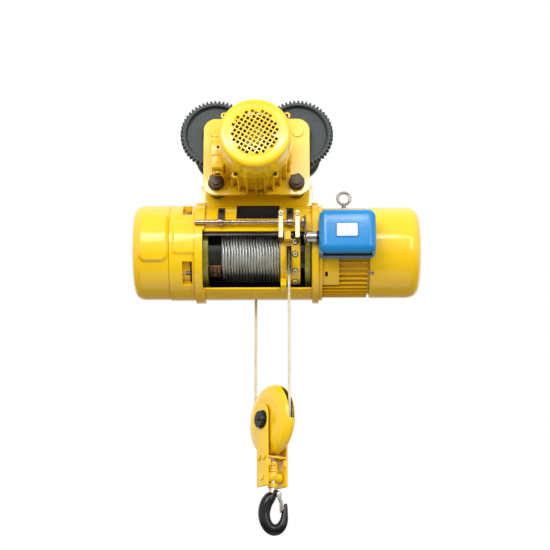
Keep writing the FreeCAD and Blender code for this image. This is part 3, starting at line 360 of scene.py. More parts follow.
FLOOR_Z = -6.25     # under the hook at its lowest
floor_mesh = bpy.data.meshes.new("floor")
floor_mesh.from_pydata([(x, y, FLOOR_Z) for x, y in ((-3, -3), (3, -3), (3, 3), (-3, 3))], [],
                       [(0, 1, 2, 3)])
floor_paint, floor_tree, floor_shader = surface("floor_paint")
floor_cloud = noise(floor_tree, floor_tree.place(), 0.6)
floor_tree.link(floor_tree.mix(floor_cloud, (0.74, 0.72, 0.69), (0.78, 0.77, 0.75)),
                floor_shader.inputs["Base Color"])
floor_mesh.materials.append(floor_paint)
floor = bpy.data.objects.new("floor", floor_mesh)
scene.collection.objects.link(floor)


# ---------------------------------------------------------------- mesh helpers
MILLIMETRES = Matrix.Scale(0.001, 4)


def made_object(name, mesh, material, sharp):
    """A smooth-shaded object whose edges over the sharp angle, in degrees, stay sharp."""
    mesh.materials.append(material)
    mesh.shade_smooth()
    mesh.set_sharp_from_angle(angle=math.radians(sharp))
    made = bpy.data.objects.new(name, mesh)
    scene.collection.objects.link(made)
    return made


def solid(name, mesh, material, sharp):
    """A mesh drawn in millimetres, as an object in metres."""
    mesh.transform(MILLIMETRES)
    return made_object(name, mesh, material, sharp)


def grid_mesh(name, rows, closed_rows=False, caps=False):
    """A mesh from rows of points, each row a ring; caps close the first and last."""
    count = len(rows[0])
    points = [tuple(point) for row in rows for point in row]
    faces = []
    last = len(rows) if closed_rows else len(rows) - 1
    for row in range(last):
        after = (row + 1) % len(rows)
        for column in range(count):
            beside = (column + 1) % count
            faces.append((row * count + column, row * count + beside, after * count + beside,
                          after * count + column))
    if caps:
        faces.append(tuple(range(count - 1, -1, -1)))
        faces.append(tuple((len(rows) - 1) * count + column for column in range(count)))
    mesh = bpy.data.meshes.new(name)
    mesh.from_pydata(points, [], faces)
    mesh.validate()
    mesh.update()
    tidy = bmesh.new()
    tidy.from_mesh(mesh)
    bmesh.ops.remove_doubles(tidy, verts=tidy.verts, dist=1e-6)
    bmesh.ops.recalc_face_normals(tidy, faces=tidy.faces)
    tidy.to_mesh(mesh)
    tidy.free()
    return mesh


def filleted(profile, steps=6):
    """Rounds the corners of a closed (station, radius[, fillet]) outline."""
    result = []
    count = len(profile)
    for index, corner in enumerate(profile):
        here = Vector(corner[:2])
        size = corner[2] if len(corner) > 2 else 0.0
        before = Vector(profile[index - 1][:2]) - here
        after = Vector(profile[(index + 1) % count][:2]) - here
        if size == 0.0 or before.length == 0 or after.length == 0:
            result.append(here)
            continue
        reach = min(size / math.tan(before.angle(after) / 2), before.length * 0.49,
                    after.length * 0.49)
        first, last = here + before.normalized() * reach, here + after.normalized() * reach
        for step in range(steps + 1):
            t = step / steps
            result.append(first * (1 - t) ** 2 + here * 2 * t * (1 - t) + last * t * t)
    return result


# The axis of a turned piece, and the two ways its angle runs from and towards.
ALONG_X = (Vector((1, 0, 0)), Vector((0, 1, 0)), Vector((0, 0, 1)))
ALONG_Y = (ALONG_X[1], ALONG_X[2], ALONG_X[0])
ALONG_Z = (ALONG_X[2], ALONG_X[0], ALONG_X[1])
FORWARD = (0, -1, 0)
DRUM_AXIS = (0, 0, DRUM_Z_MM)


def divided(points, longest):
    """The same outline with its long runs cut into short ones."""
    result = []
    for here, after in zip(points, points[1:] + points[:1]):
        count = max(1, math.ceil((after - here).length / longest))
        result += [here.lerp(after, index / count) for index in range(count)]
    return result


def facing(direction):
    """Axes for a turned piece that points along a direction."""
    axis = Vector(direction).normalized()
    first = axis.orthogonal().normalized()
    return axis, first, axis.cross(first)


def ring(start, end, outer, inner=0.0, first=0.0, last=0.0):
    """The outline of a disc or tube for lathe(), with a fillet at each outer corner."""
    return [(start, inner), (start, outer, first), (end, outer, last), (end, inner)]


def lathe(name, profile, centre, axes, material, segments=96, steps=6, sharp=35.0, raised=None,
          longest=None):
    """A turned piece. raised(station, radius, angle) may lift or sink the surface."""
    axis, first, second = axes
    centre = Vector(centre)
    rows = []
    outline = filleted(profile, steps)
    for station, radius in divided(outline, longest) if longest else outline:
        row = []
        for spoke in range(segments):
            angle = 2 * math.pi * spoke / segments
            reach = radius + (raised(station, radius, angle) if raised else 0.0)
            out = first * math.cos(angle) + second * math.sin(angle)
            row.append(centre + axis * station + out * reach)
        rows.append(row)
    return solid(name, grid_mesh(name, rows, closed_rows=True), material, sharp)


def finish_work(name, work, material, bevel, segments=3, matrix=None, chosen=None):
    """Rounds a piece's edges, puts it in place and makes it an object."""
    bmesh.ops.recalc_face_normals(work, faces=work.faces)
    edges = [edge for edge in work.edges if edge.calc_face_angle(0.0) > math.radians(28)]
    if chosen:
        edges = [edge for edge in edges if chosen((edge.verts[0].co + edge.verts[1].co) / 2)]
    if bevel:
        bmesh.ops.bevel(work, geom=edges, offset=bevel, segments=segments, profile=0.5,
                        affect="EDGES", clamp_overlap=True)
    if matrix:
        work.transform(matrix)
    mesh = bpy.data.meshes.new(name)
    work.to_mesh(mesh)
    work.free()
    return solid(name, mesh, material, 40.0)


def block(name, lowest, highest, material, bevel=1.0, segments=3, matrix=None, chosen=None):
    """A rectangular piece with rounded edges; chosen(middle) picks the edges to round."""
    outline = [(lowest[0], lowest[2]), (highest[0], lowest[2]), (highest[0], highest[2]),
               (lowest[0], highest[2])]
    return prism(name, outline, lowest[1], highest[1], material, bevel, segments, matrix, chosen)


def prism(name, outline, near, far, material, bevel=1.0, segments=3, matrix=None, chosen=None):
    """A plate whose outline of (x, z) points is thickened from near to far along Y."""
    work = bmesh.new()
    rings = [[work.verts.new((x, y, z)) for x, z in outline] for y in (near, far)]
    count = len(outline)
    work.faces.new(rings[0])
    work.faces.new(list(reversed(rings[1])))
    for index in range(count):
        after = (index + 1) % count
        work.faces.new((rings[0][after], rings[0][index], rings[1][index], rings[1][after]))
    return finish_work(name, work, material, bevel, segments, matrix, chosen)


def sector(name, outer, inner, start, end, first, last, material, bevel=0.8):
    """Part of a ring about the drum's axis; angles run from +Y towards +Z, in degrees."""
    work = bmesh.new()
    count = max(2, round((last - first) / 3))
    rows = []
    for index in range(count + 1):
        angle = math.radians(first + (last - first) * index / count)
        across, up = math.cos(angle), math.sin(angle)
        rows.append([work.verts.new((x, across * r, DRUM_Z_MM + up * r))
                     for x, r in ((start, inner), (end, inner), (end, outer), (start, outer))])
    work.faces.new(rows[0])
    work.faces.new(list(reversed(rows[-1])))
    for before, after in zip(rows, rows[1:]):
        for index in range(4):
            beside = (index + 1) % 4
            work.faces.new((before[beside], before[index], after[index], after[beside]))
    return finish_work(name, work, material, bevel)


def rounded_outline(low, high, radius, steps=6):
    """The outline of a rounded rectangle in x and z."""
    corners = [(high[0] - radius, high[1] - radius, 0), (low[0] + radius, high[1] - radius, 90),
               (low[0] + radius, low[1] + radius, 180), (high[0] - radius, low[1] + radius, 270)]
    return [(x + radius * math.cos(math.radians(start + 90 * step / steps)),
             z + radius * math.sin(math.radians(start + 90 * step / steps)))
            for x, z, start in corners for step in range(steps + 1)]


def off_sixth(angle):
    """The angle from the middle of the nearest sixth of a turn."""
    return (angle + math.pi / 6) % (math.pi / 3) - math.pi / 6


def hexagon(name, across, height, spot, axes, material):
    """A hexagonal head or nut with both ends chamfered by a cone."""
    corner = across / math.sqrt(3.0)

    def flats(station, radius, angle):
        return min(0.0, across / 2 / math.cos(off_sixth(angle)) - radius)

    lead = corner * 0.09
    profile = [(0, 0), (0, across * 0.47), (lead, corner), (height - lead, corner),
               (height, across * 0.47), (height, 0)]
    return lathe(name, profile, spot, axes, material, segments=72, sharp=22.0, raised=flats)


def socket_screw(name, spot, direction, radius, height, material, recess=None):
    """A round screw head whose socket holds a dark disc, painted shade in the socket."""
    axes = facing(direction)
    head = lathe(name, [
        (-1, 0), (-1, radius), (height, radius, height * 0.5), (height, radius * 0.55, 0.3),
        (height * 0.35, radius * 0.5), (height * 0.35, 0),
    ], spot, axes, material, segments=32)
    # Painted shade: a near-black disc inside the socket.
    hole = lathe(name + "_hole", ring(height * 0.3, height * 0.38, radius * 0.54), spot, axes,
                 recess or HOLE, segments=24)
    return joined(name, head, hole)


def torus(name, spot, axes, major, minor, material, segments=64, sides=20):
    """A round ring of round bar about an axis."""
    axis, first, second = axes
    rows = []
    for index in range(segments):
        angle = 2 * math.pi * index / segments
        out = first * math.cos(angle) + second * math.sin(angle)
        rows.append([Vector(spot) + out * (major + minor * math.cos(turn))
                     + axis * minor * math.sin(turn)
                     for turn in (2 * math.pi * side / sides for side in range(sides))])
    return solid(name, grid_mesh(name, rows, closed_rows=True), material, 80.0)


def on_shell(x, angle, radius):
    """A point on a cylinder about the drum's axis, and the way out from it."""
    turn = math.radians(angle)
    out = Vector((0, math.cos(turn), math.sin(turn)))
    return Vector((x, 0, DRUM_Z_MM)) + out * radius, out


def joined(name, *objects):
    """Several meshes as one piece, each part keeping its material."""
    work = bpy.data.meshes.new(name)
    combined = bmesh.new()
    materials = []
    for item in objects:
        start = len(combined.faces)
        material = item.data.materials[0]
        if material not in materials:
            materials.append(material)
        combined.from_mesh(item.data)
        combined.faces.ensure_lookup_table()
        for face in combined.faces[start:]:
            face.material_index = materials.index(material)
        bpy.data.objects.remove(item)
    combined.to_mesh(work)
    combined.free()
    made = bpy.data.objects.new(name, work)
    for material in materials:
        work.materials.append(material)
    scene.collection.objects.link(made)
    return made


def carved(target, cutter):
    """Cuts one mesh out of another."""
    modifier = target.modifiers.new("cut", "BOOLEAN")
    modifier.operation = "DIFFERENCE"
    modifier.solver = "EXACT"
    modifier.object = cutter
    evaluated = target.evaluated_get(bpy.context.evaluated_depsgraph_get())
    mesh = bpy.data.meshes.new_from_object(evaluated)
    target.modifiers.clear()
    target.data = mesh
    mesh.set_sharp_from_angle(angle=math.radians(35))
    bpy.data.objects.remove(cutter)
    return target


def finished(made, body, slot, *replaced):
    """Says which body a piece rides and which nodes it replaces; the slot is not used."""
    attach(made, body)
    if replaced:
        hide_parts(*replaced)
    return made


# ---------------------------------------------------------------- ropes
ROPE = 0.0074           # diameter
LAY = 6.5 * ROPE        # the length in which a strand goes round once
ROPE_STEP = 0.004
ROPE_PITCH = 0.0075     # from turn to turn on the drum
WINDING_RADIUS = 0.075
SHEAVE_RADIUS = 0.08


def spline_points(name, route, resolution):
    """Points along a smooth NURBS line through a route's control points."""
    curve = bpy.data.curves.new(name, "CURVE")
    curve.dimensions = "3D"
    curve.resolution_u = resolution
    spline = curve.splines.new("NURBS")
    spline.points.add(len(route) - 1)
    for point, place in zip(spline.points, route):
        point.co = (*place, 1.0)
    spline.order_u = 3
    spline.use_endpoint_u = True
    holder = bpy.data.objects.new(name, curve)
    scene.collection.objects.link(holder)
    bpy.context.view_layer.update()
    mesh = bpy.data.meshes.new_from_object(holder)
    points = [vertex.co.copy() for vertex in mesh.vertices]
    bpy.data.objects.remove(holder)
    return points


def evenly(points, step):
    """The same line, at even steps."""
    lengths = [0.0]
    for before, after in zip(points, points[1:]):
        lengths.append(lengths[-1] + (after - before).length)
    count = max(2, round(lengths[-1] / step))
    result, index = [], 0
    for number in range(count + 1):
        target = lengths[-1] * number / count
        while index < len(points) - 2 and lengths[index + 1] < target:
            index += 1
        span = max(lengths[index + 1] - lengths[index], 1e-9)
        result.append(points[index].lerp(points[index + 1], (target - lengths[index]) / span))
    return result


def stranded(name, route, material, resolution=12):
    """A six-strand rope along a route: one lobed tube that twists at the rope's lay length."""
    line = evenly(spline_points(name + "_line", route, resolution), ROPE_STEP)
    count = 6 * 4       # four points to a strand
    centre, strand = ROPE / 3, ROPE * 0.172
    lobes = []
    for index in range(count):
        angle = 2 * math.pi * index / count
        off = off_sixth(angle)
        lobes.append((angle, centre * math.cos(off)
                      + math.sqrt(max(0.0, strand ** 2 - (centre * math.sin(off)) ** 2))))
    rows = []
    side = None
    for index, point in enumerate(line):
        heading = (line[min(index + 1, len(line) - 1)] - line[max(index - 1, 0)]).normalized()
        if side is None:
            side = heading.orthogonal().normalized()
        side = (side - heading * side.dot(heading)).normalized()
        other = heading.cross(side)
        turn = 2 * math.pi * index * ROPE_STEP / LAY
        rows.append([point + (side * math.cos(angle + turn) + other * math.sin(angle + turn))
                     * radius for angle, radius in lobes])
    made = made_object(name, grid_mesh(name, rows, caps=True), material, 80.0)
    length = sum((after - before).length for before, after in zip(line, line[1:]))
    return made, line, length


EXIT_X, EXIT_Y = 0.0845, -WINDING_RADIUS
DEAD_X = -0.0038
FALL_GAP = 2 * SHEAVE_RADIUS
DEAD_Y = EXIT_Y + math.sqrt(FALL_GAP ** 2 - (EXIT_X - DEAD_X) ** 2)
BLOCK_X, BLOCK_Y = (EXIT_X + DEAD_X) / 2, (EXIT_Y + DEAD_Y) / 2
BLOCK_Z = DRUM_Z - 0.453
ACROSS = Vector((EXIT_X - DEAD_X, EXIT_Y - DEAD_Y, 0.0)).normalized()   # towards the live fall
AXLE = Vector((-ACROSS.y, ACROSS.x, 0.0))                              # along the sheave's axle
UP = Vector((0, 0, 1))
BLOCK_CENTRE = Vector((BLOCK_X, BLOCK_Y, BLOCK_Z))
BLOCK_MATRIX = Matrix.Translation(BLOCK_CENTRE) @ Matrix((ACROSS, AXLE, UP)).transposed().to_4x4()

# Winding: a helix of control points just outside the rope's own centre line.
TURN_POINTS = 16
TURNS = 23.5
helix = []
for index in range(int(TURNS * TURN_POINTS) + 1):
    turn = index / TURN_POINTS
    wander = 0.00022 * math.sin(turn * 2.1) + 0.00018 * math.sin(turn * 5.3 + 1.0)
    angle = math.pi - 2 * math.pi * (TURNS - turn)
    reach = WINDING_RADIUS / math.cos(math.pi / TURN_POINTS) + 0.00012 * math.sin(turn * 3.7)
    helix.append((EXIT_X - ROPE_PITCH * (TURNS - turn) + wander, reach * math.cos(angle),
                  DRUM_Z + reach * math.sin(angle)))
winding, winding_line, winding_length = stranded("rope_turns", helix, WIRE, resolution=6)
finished(winding, "drum", "rope_steel", "rope_winding")

SPLIT_Z = -0.42         # the live fall's top piece, which follows the guide, ends here
RUN_OFF = SHEAVE_RADIUS * math.tan(math.pi / 8)
upper = [(EXIT_X, EXIT_Y, z) for z in (DRUM_Z - 0.002, -0.29, -0.34, -0.38, SPLIT_Z)]
live_upper, upper_line, upper_length = stranded("live_fall_top", upper, FALL_WIRE)
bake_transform(live_upper)

# Down the live fall, round the sheave by the corners of its lower half, and up the dead fall.
around = [
    (SHEAVE_RADIUS, RUN_OFF), (SHEAVE_RADIUS, -RUN_OFF), (RUN_OFF, -SHEAVE_RADIUS),
    (-RUN_OFF, -SHEAVE_RADIUS), (-SHEAVE_RADIUS, -RUN_OFF), (-SHEAVE_RADIUS, RUN_OFF),
]
route = [(EXIT_X, EXIT_Y, SPLIT_Z)]
route += [tuple(BLOCK_CENTRE + ACROSS * across + UP * up) for across, up in around]
route += [(DEAD_X, DEAD_Y, DRUM_Z - 0.101)]
falls, falls_line, falls_length = stranded("rope_fall", route, FALL_WIRE)
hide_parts("rope_falls")
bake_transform(falls)

# ---------------------------------------------------------------- hoist: gearbox and motor covers
def ease(value):
    """0 to 1 with soft ends."""
    value = min(1.0, max(0.0, value))
    return value * value * (3 - 2 * value)


def cushion(x, z, low, high, corner, edge):
    """1 inside a rounded rectangle of x and z, falling to 0 over its edge."""
    half = ((high[0] - low[0]) / 2, (high[1] - low[1]) / 2)
    out_x = abs(x - (high[0] + low[0]) / 2) - half[0] + corner
    out_z = abs(z - (high[1] + low[1]) / 2) - half[1] + corner
    gap = math.hypot(max(out_x, 0), max(out_z, 0)) + min(max(out_x, out_z), 0) - corner
    return ease(0.5 - gap / edge)


def front_pad(wall, lift, low, high, corner, edge):
    """A raised pad on the front of a cover, for lathe(); it stays off what is inside the wall."""
    def raised(station, radius, angle):
        if radius < wall or math.cos(angle) > 0:
            return 0.0
        return lift * cushion(station, radius * math.sin(angle), low, high, corner, edge)
    return raised


cover = lathe("gearbox_shell", [
    (-226, 116), (-226, 125, 1.2), (-322, 125, 32), (-322, 60), (-319, 52, 2), (-319, 0),
    (-311, 0), (-311, 52), (-314, 60), (-314, 112, 10),
], (0, 0, -240.5), ALONG_X, YELLOW, segments=300, steps=10, longest=2.5,
    raised=front_pad(118.5, 7.5, (-303, -56), (-230, 72), 18, 9))
finished(cover, "hoist_frame", "yellow_paint", "gearbox_cover")

housing = lathe("gearbox_casing", [
    (-225.6, 117), (-225.6, 126, 1.2), (-159.2, 126), (-159.2, 112), (-172, 112), (-172, 40),
    (-194, 40), (-194, 117),
], DRUM_AXIS, ALONG_X, YELLOW, segments=300, longest=2.5,
    raised=front_pad(124, 4.8, (-215, -38), (-130, 46), 9, 7))
for ends, angles in (((-191, -166), (207, 239)), ((-192, -168), (118, 144.3))):
    carved(housing, sector("pocket", 140, 109, *ends, *angles, YELLOW, bevel=1.5))
finished(housing, "hoist_frame", "yellow_paint", "gearbox_housing")

bolts = [hexagon("bolt", 10, 12, (-182, y, DRUM_Z_MM + z), ALONG_X, DARK_STEEL)
         for y, z in ((-94, -83), (-87, 80))]
spot, out = on_shell(299, 222.6, 120)
bolts.append(socket_screw("cover_screw", spot, out, 5, 3.5, STEEL))
finished(joined("case_bolts", *bolts), "hoist_frame", "machined_steel", "housing_bolts")

dome = lathe("motor_cap", [
    (293, 112.2), (293, 120, 2.5), (427, 120, 40), (427, 0), (420, 0), (420, 112.2, 36),
    (376, 112.2), (376, 95.8), (350, 104.5), (350, 112.2),
], DRUM_AXIS, ALONG_X, YELLOW, segments=160, steps=12)
finished(dome, "hoist_frame", "yellow_paint", "motor_rear_cover")

pad_slot = sector("pad_slot", 118.9, 118.0, 178, 184.5, 221.5, 228, HOLE, bevel=0.3)
finished(pad_slot, "hoist_frame", "black_paint")

plate = sector("blank_nameplate", 126.4, 125.05, -52, 60, 116, 152, PLATE, bevel=0.5)
rivets = [socket_screw("rivet", *on_shell(x, angle, 126.2), 1.9, 1.1, DARK_STEEL, PLATE)
          for x in (-48, 56) for angle in (119, 149)]
finished(joined("nameplate_face", plate, *rivets), "hoist_frame", "nameplate_black", "nameplate")

# A black strip inside the shell under the window's top edge: painted shadow of that edge on the
# rope turns.
window_shadow_strip = sector("window_shadow_strip", 118.8, 113, -138.5, 142.5, 169.2, 174.8, BLACK)
finished(window_shadow_strip, "hoist_frame", "black_paint")

# ---------------------------------------------------------------- rod, plunger and limit switch
ROD = Vector((0, -135, -200))
PLUNGER = (0, -149.5, -246)


def bracket(middle):
    """A ring round the limit rod, on a strap that is bent to the shell, with its screw."""
    middle_spot, outward = on_shell(middle, 141, 128.2)
    return [
        lathe("ring", ring(-6.5, 6.5, 10, 6.1, 1.5, 1.5), ROD + Vector((middle, 0, 0)), ALONG_X,
              NICKEL, segments=48),
        sector("strap", 128.4, 125.1, middle - 9, middle + 9, 130, 157, DARK_STEEL),
        sector("web", 139, 125.5, middle - 4.5, middle + 4.5, 153, 161, DARK_STEEL),
        socket_screw("strap_screw", middle_spot, outward, 7.2, 4.8, BLACK),
    ]


finished(joined("rod_holders", *bracket(-91.0), *bracket(87.5)), "hoist_frame", "dark_steel",
         "rod_brackets")

rod = lathe("rod_bar", ring(-158, 129.5, 6, 0, 1, 1), ROD, ALONG_X, NICKEL, segments=40)
collar = lathe("rod_collar", ring(118.6, 124.5, 15, 5.9, 1, 1), ROD, ALONG_X, NICKEL)
finished(joined("trip_rod", rod, collar), "limit_rod", "nickel_plate", "limit_rod")

link = prism("link_strip", [(124.6, -262), (128.4, -262), (128.4, -188), (124.6, -188)],
             -158, -129, DARK_STEEL, bevel=1.2)
carved(link, lathe("link_hole", ring(120, 130, 6.1), ROD, ALONG_X, DARK_STEEL))
plunger = lathe("plunger_bar", [
    (122.5, 0), (122.5, 7, 1), (128, 7), (128, 12, 0.5), (131, 14, 1), (174, 14, 1), (174, 0),
], PLUNGER, ALONG_X, CHROME, segments=64)
seal = lathe("plunger_seal", ring(155, 161, 16.5, 14.1, 1), PLUNGER, ALONG_X, BLACK)
finished(seal, "hoist_frame", "black_paint")
finished(joined("trip_plunger", plunger, link), "limit_rod", "chrome_plate", "limit_plunger")

SKIRT_Y = -139      # the lid's edges behind this stay sharp, where it meets its skirt
switch = [
    block("switch_lid", (161.4, -190, -297.5), (306.8, -138, -180.2), BLUE, bevel=20,
          segments=10, chosen=lambda middle: middle.y < SKIRT_Y),
    prism("switch_skirt", rounded_outline((160.8, -298.2), (307.4, -179.6), 18), -141, -131.2,
          BLUE, bevel=1.5),
    prism("label_frame", rounded_outline((204, -259.5), (262, -219.5), 4), -191.3, -189.5, BLUE,
          bevel=0.9),
    prism("label_face", rounded_outline((207, -256.5), (259, -222.5), 2.5), -191.7, -190.5,
          LABEL, bevel=0.3),
    # A black strip on the lid's underside: painted shade under the lid.
    block("lid_underside_shade", (171, -171, -298.6), (297, -154, -296.5), HOLE, bevel=1),
]
finished(joined("limit_switch_box", *switch), "hoist_frame", "blue_paint", "limiter_cover")

# ---------------------------------------------------------------- rope guide, rope clamp, eye bolt
screws = []
for angle in (181.4, 198.6, 223.8, 242):
    spot, out = on_shell(100.2, angle, 104)
    # A dark disc under each head: painted shadow of the screw on the plate.
    screws.append(lathe("guide_screw_shadow", ring(-1, 0.5, 8.2), spot, facing(out), HOLE, segments=32))
    screws.append(socket_screw("guide_screw", spot, out, 6.4, 5.0, ZINC))
finished(joined("guide_screws", *screws), "rope_guide", "yellow_paint")

# Dark strips along both sides of the rope slot: painted shade inside the slot.
slot_shade = [block("slot_shade_edge", (x, -104.5, -323), (x + 1.2, -81, -255), HOLE, bevel=0.3)
         for x in (78.7, 89.1)]
finished(joined("guide_slot_shade", *slot_shade), "rope_guide", "dark_steel")

strips = []
for left in (57.9, 100.9):
    spot = (left + 5.75, -150, -183)
    strips += [
        prism("strip", rounded_outline((left, -246.5), (left + 11.5, -173), 2.5), -150, -146.2,
              ZINC, bevel=0.9),
        block("strip_foot", (left + 1, -146.5, -246), (left + 10.5, -102.5, -234), DARK_STEEL,
              bevel=1.2),
        # A dark disc under the head: painted shadow of the screw on the strip.
        lathe("strip_screw_shadow", ring(-1, 1.2, 5.6), spot, facing(FORWARD), HOLE, segments=32),
        socket_screw("strip_screw", spot, FORWARD, 4.9, 4.2, ZINC),
    ]
finished(joined("guide_strips", *strips), "rope_guide", "zinc_plate", "guide_arms")

clamp = [sector("clamp_pad", 79.5, 71.4, -124, -94, 222, 250, CLAMP, bevel=1.6)]
for angle in (229, 243):
    spot, out = on_shell(-109, angle, 79)
    clamp.append(lathe("clamp_washer", ring(-1, 1, 7.4, last=0.6), spot, facing(out), CLAMP,
                       segments=40))
    clamp.append(hexagon("clamp_bolt", 9.4, 5.5, spot, facing(out), CLAMP))
clamp += [sector("clamp_bead", 82.4, 79, x - 2.6, x + 2.6, 223.5, 248.5, CLAMP, bevel=1.4)
          for x in (-118.5, -99.5)]
finished(joined("clamp_block", *clamp), "drum", "dark_steel", "rope_clamp")

EYE_X = 231
eye = [
    torus("eye_ring", (EYE_X, 0, -90), ALONG_Y, 16.6, 3.6, EYE_STEEL),
    lathe("eye_shank", [
        (119.2, 0), (119.2, 11, 1), (122.5, 11, 1.5), (124, 7, 1.5), (134.6, 5.2, 1), (134.6, 0),
    ], (EYE_X, 0, DRUM_Z_MM), ALONG_Z, EYE_STEEL, segments=48),
]
finished(joined("lifting_eye", *eye), "hoist_frame", "zinc_plate", "eye_bolt")

# ---------------------------------------------------------------- trolley
WHEEL_Z, HALF_WHEELBASE = 57, 108
PINION_REACH = 115.5        # from a geared wheel's axis to the pinion's
MOTOR_REACH = 45.75         # from the pinion's axis down to the motor's
MOTOR_Z = WHEEL_Z - math.sqrt(PINION_REACH ** 2 - HALF_WHEELBASE ** 2) - MOTOR_REACH

fan_guard = [lathe("fan_cap", [
    (-335, 0), (-335, 62), (-334.2, 64, 1), (-334.2, 91, 26), (-240, 92, 0.5), (-240, 89),
    (-308, 88), (-331.4, 86, 23), (-331.4, 0),
], (0, 0, MOTOR_Z), ALONG_Y, YELLOW, segments=144, steps=10)]

# The grille: square holes on a turned grid, in a round field.
PITCH, HOLE_SIDE, FIELD, GRID_TURN = 11.2, 7.8, 62.0, 31
half_hole = HOLE_SIDE / 2
grid = Matrix.Translation(Vector((0, -333, MOTOR_Z)))
grid = grid @ Matrix.Rotation(math.radians(GRID_TURN), 4, "Y")
reach = int(FIELD / PITCH) + 1
places = [(column * PITCH, row * PITCH) for row in range(-reach, reach + 1)
          for column in range(-reach, reach + 1)]
holes = [block("hole", (x - half_hole, -4, z - half_hole), (x + half_hole, 4, z + half_hole),
               YELLOW, bevel=0, matrix=grid)
         for x, z in places if math.hypot(x, z) <= FIELD - half_hole]
carved(fan_guard[0], joined("holes", *holes))
for angle, ear_reach in ((44.5, 113), (135.5, 113), (238, 97), (302, 97)):
    turn = math.radians(angle)
    tip = Vector((0, -248, MOTOR_Z)) + Vector((math.cos(turn), 0, math.sin(turn))) * ear_reach
    arm = Matrix.Translation(Vector((0, 0, MOTOR_Z))) @ Matrix.Rotation(-turn, 4, "Y")
    fan_guard += [
        lathe("ear", ring(0, 7.5, 8, 0, 1, 1), tip, ALONG_Y, YELLOW, segments=40),
        block("ear_arm", (88, -248, -8), (ear_reach, -240.5, 8), YELLOW, bevel=1, matrix=arm),
        socket_screw("ear_screw", tip, FORWARD, 3.6, 2.2, DARK_STEEL),
    ]
finished(joined("fan_guard", *fan_guard), "hoist_frame", "yellow_paint", "trolley_fan_cover")

nuts = []
for sign in (-1, 1):
    for side in (-1, 1):
        spot = (sign * 105, side * 120, -86)
        outward = facing((0, side, 0))
        nuts += [
            lathe("washer", ring(-5, 0, 21, 0, 1, 1), spot, outward, DARK_STEEL, segments=64),
            hexagon("nut", 36, 16.5, spot, outward, DARK_STEEL),
            lathe("stud_end", [(16, 0), (16, 12.6), (21, 12.6, 3), (23.2, 9, 1), (23.2, 0)], spot,
                  outward, DARK_STEEL, segments=48),
            lathe("spacer", ring(15, 70, 21, 13.3, 1, 1), spot, facing((0, -side, 0)), DARK_STEEL,
                  segments=64),
        ]
finished(joined("hanger_nuts", *nuts), "hoist_frame", "dark_steel", "stud_nuts_and_spacers")

GLAND = (-97.5, -186, 0)
terminal = [
    prism("terminal_body", [
        (-114, -80), (-84, -80), (-76, -60), (-76, 8), (-84, 26), (-108, 26), (-114, 18),
    ], -214, -158, YELLOW, bevel=3),
    prism("terminal_lid", [(-116, -52), (-112, -58), (-112, 4), (-116, 0)], -214, -160, YELLOW,
          bevel=1),
    block("terminal_band", (-115.5, -216, -48), (-84, -160, -4), YELLOW, bevel=3),
    block("terminal_step", (-114.5, -215.4, 4), (-86, -162, 13), YELLOW, bevel=2.5),
    socket_screw("terminal_screw", (-97, -216, -25), FORWARD, 3.0, 2.0, HOLE),
    lathe("gland", ring(-88, -80, 13, 8, 1, 1), GLAND, ALONG_Z, YELLOW, segments=48),
    lathe("gland_hole", ring(-86, -81, 8.5), GLAND, ALONG_Z, HOLE, segments=32),
]
finished(joined("cable_box", *terminal), "hoist_frame", "yellow_paint", "terminal_box")

# ---------------------------------------------------------------- hook block
BLOCK_MM = BLOCK_MATRIX.copy()
BLOCK_MM.translation *= 1000
CENTRE = BLOCK_MM.translation.copy()
AXLE_AXES = (AXLE, UP, ACROSS)
TRUNNION = CENTRE - UP * 147.5


def mirrored(half, first):
    """Both halves of an outline that is symmetrical about station 0, from the first side on."""
    sides = [[(side * corner[0], *corner[1:]) for corner in half] for side in (first, -first)]
    return sides[0] + list(reversed(sides[1][:-1]))


guard_profile = mirrored([(22.3, 16.5), (22.3, 62, 16), (13.5, 87.5, 14), (0, 94.6, 10)], -1)
guard_profile += mirrored([(19.8, 16.5), (19.8, 61, 14), (11.5, 85.5, 10), (0, 91.9, 8)], 1)
guard = lathe("sheave_cover", guard_profile, CENTRE, AXLE_AXES, YELLOW, segments=144, steps=8)
slot_shape = [(-7.6, -8), (7.6, -8), (7.4, 45), (6.2, 68), (3.6, 84), (0.6, 93), (-0.6, 93),
              (-3.6, 84), (-6.2, 68), (-7.4, 45)]
QUARTER = BLOCK_MM @ Matrix.Rotation(math.radians(90), 4, "Z")
for near, far in ((42, 104), (-104, -42)):
    carved(guard, prism("rope_slot", slot_shape, near, far, YELLOW, bevel=0, matrix=QUARTER))
finished(guard, "hook_block", "yellow_paint", "sheave_guard")

strap_shape = [(-24.5, -172), (24.5, -172)]
strap_shape += [(24.5 * math.cos(math.radians(turn)), 10 + 30 * math.sin(math.radians(turn)))
                for turn in range(0, 181, 10)]
straps = [prism("strap", strap_shape, *ends, YELLOW, bevel=1.6, matrix=BLOCK_MM)
          for ends in ((-31.8, -25.8), (25.8, 31.8))]
for side in (-1, 1):
    for x in (-1, 1):
        straps.append(block("strap_fold", (min(x * 20, x * 24.5), min(side * 20, side * 27), -122),
                            (max(x * 20, x * 24.5), max(side * 20, side * 27), -104), YELLOW,
                            bevel=1.5, matrix=BLOCK_MM))
    straps.append(lathe("trunnion_cap", ring(31, 35, 9.2, 0, 1, 1.5), TRUNNION,
                        (AXLE * side, UP, ACROSS), YELLOW, segments=48))
finished(joined("hook_straps", *straps), "hook_block", "yellow_paint", "block_straps")

heads = [hexagon("head", 13, 4.6, CENTRE + ACROSS * x - UP * 98 + AXLE * side * 31.8,
                 facing(AXLE * side), YELLOW)
         for side in (-1, 1) for x in (-12, 12)]
finished(joined("strap_bolts", *heads), "hook_block", "yellow_paint", "block_bolts")

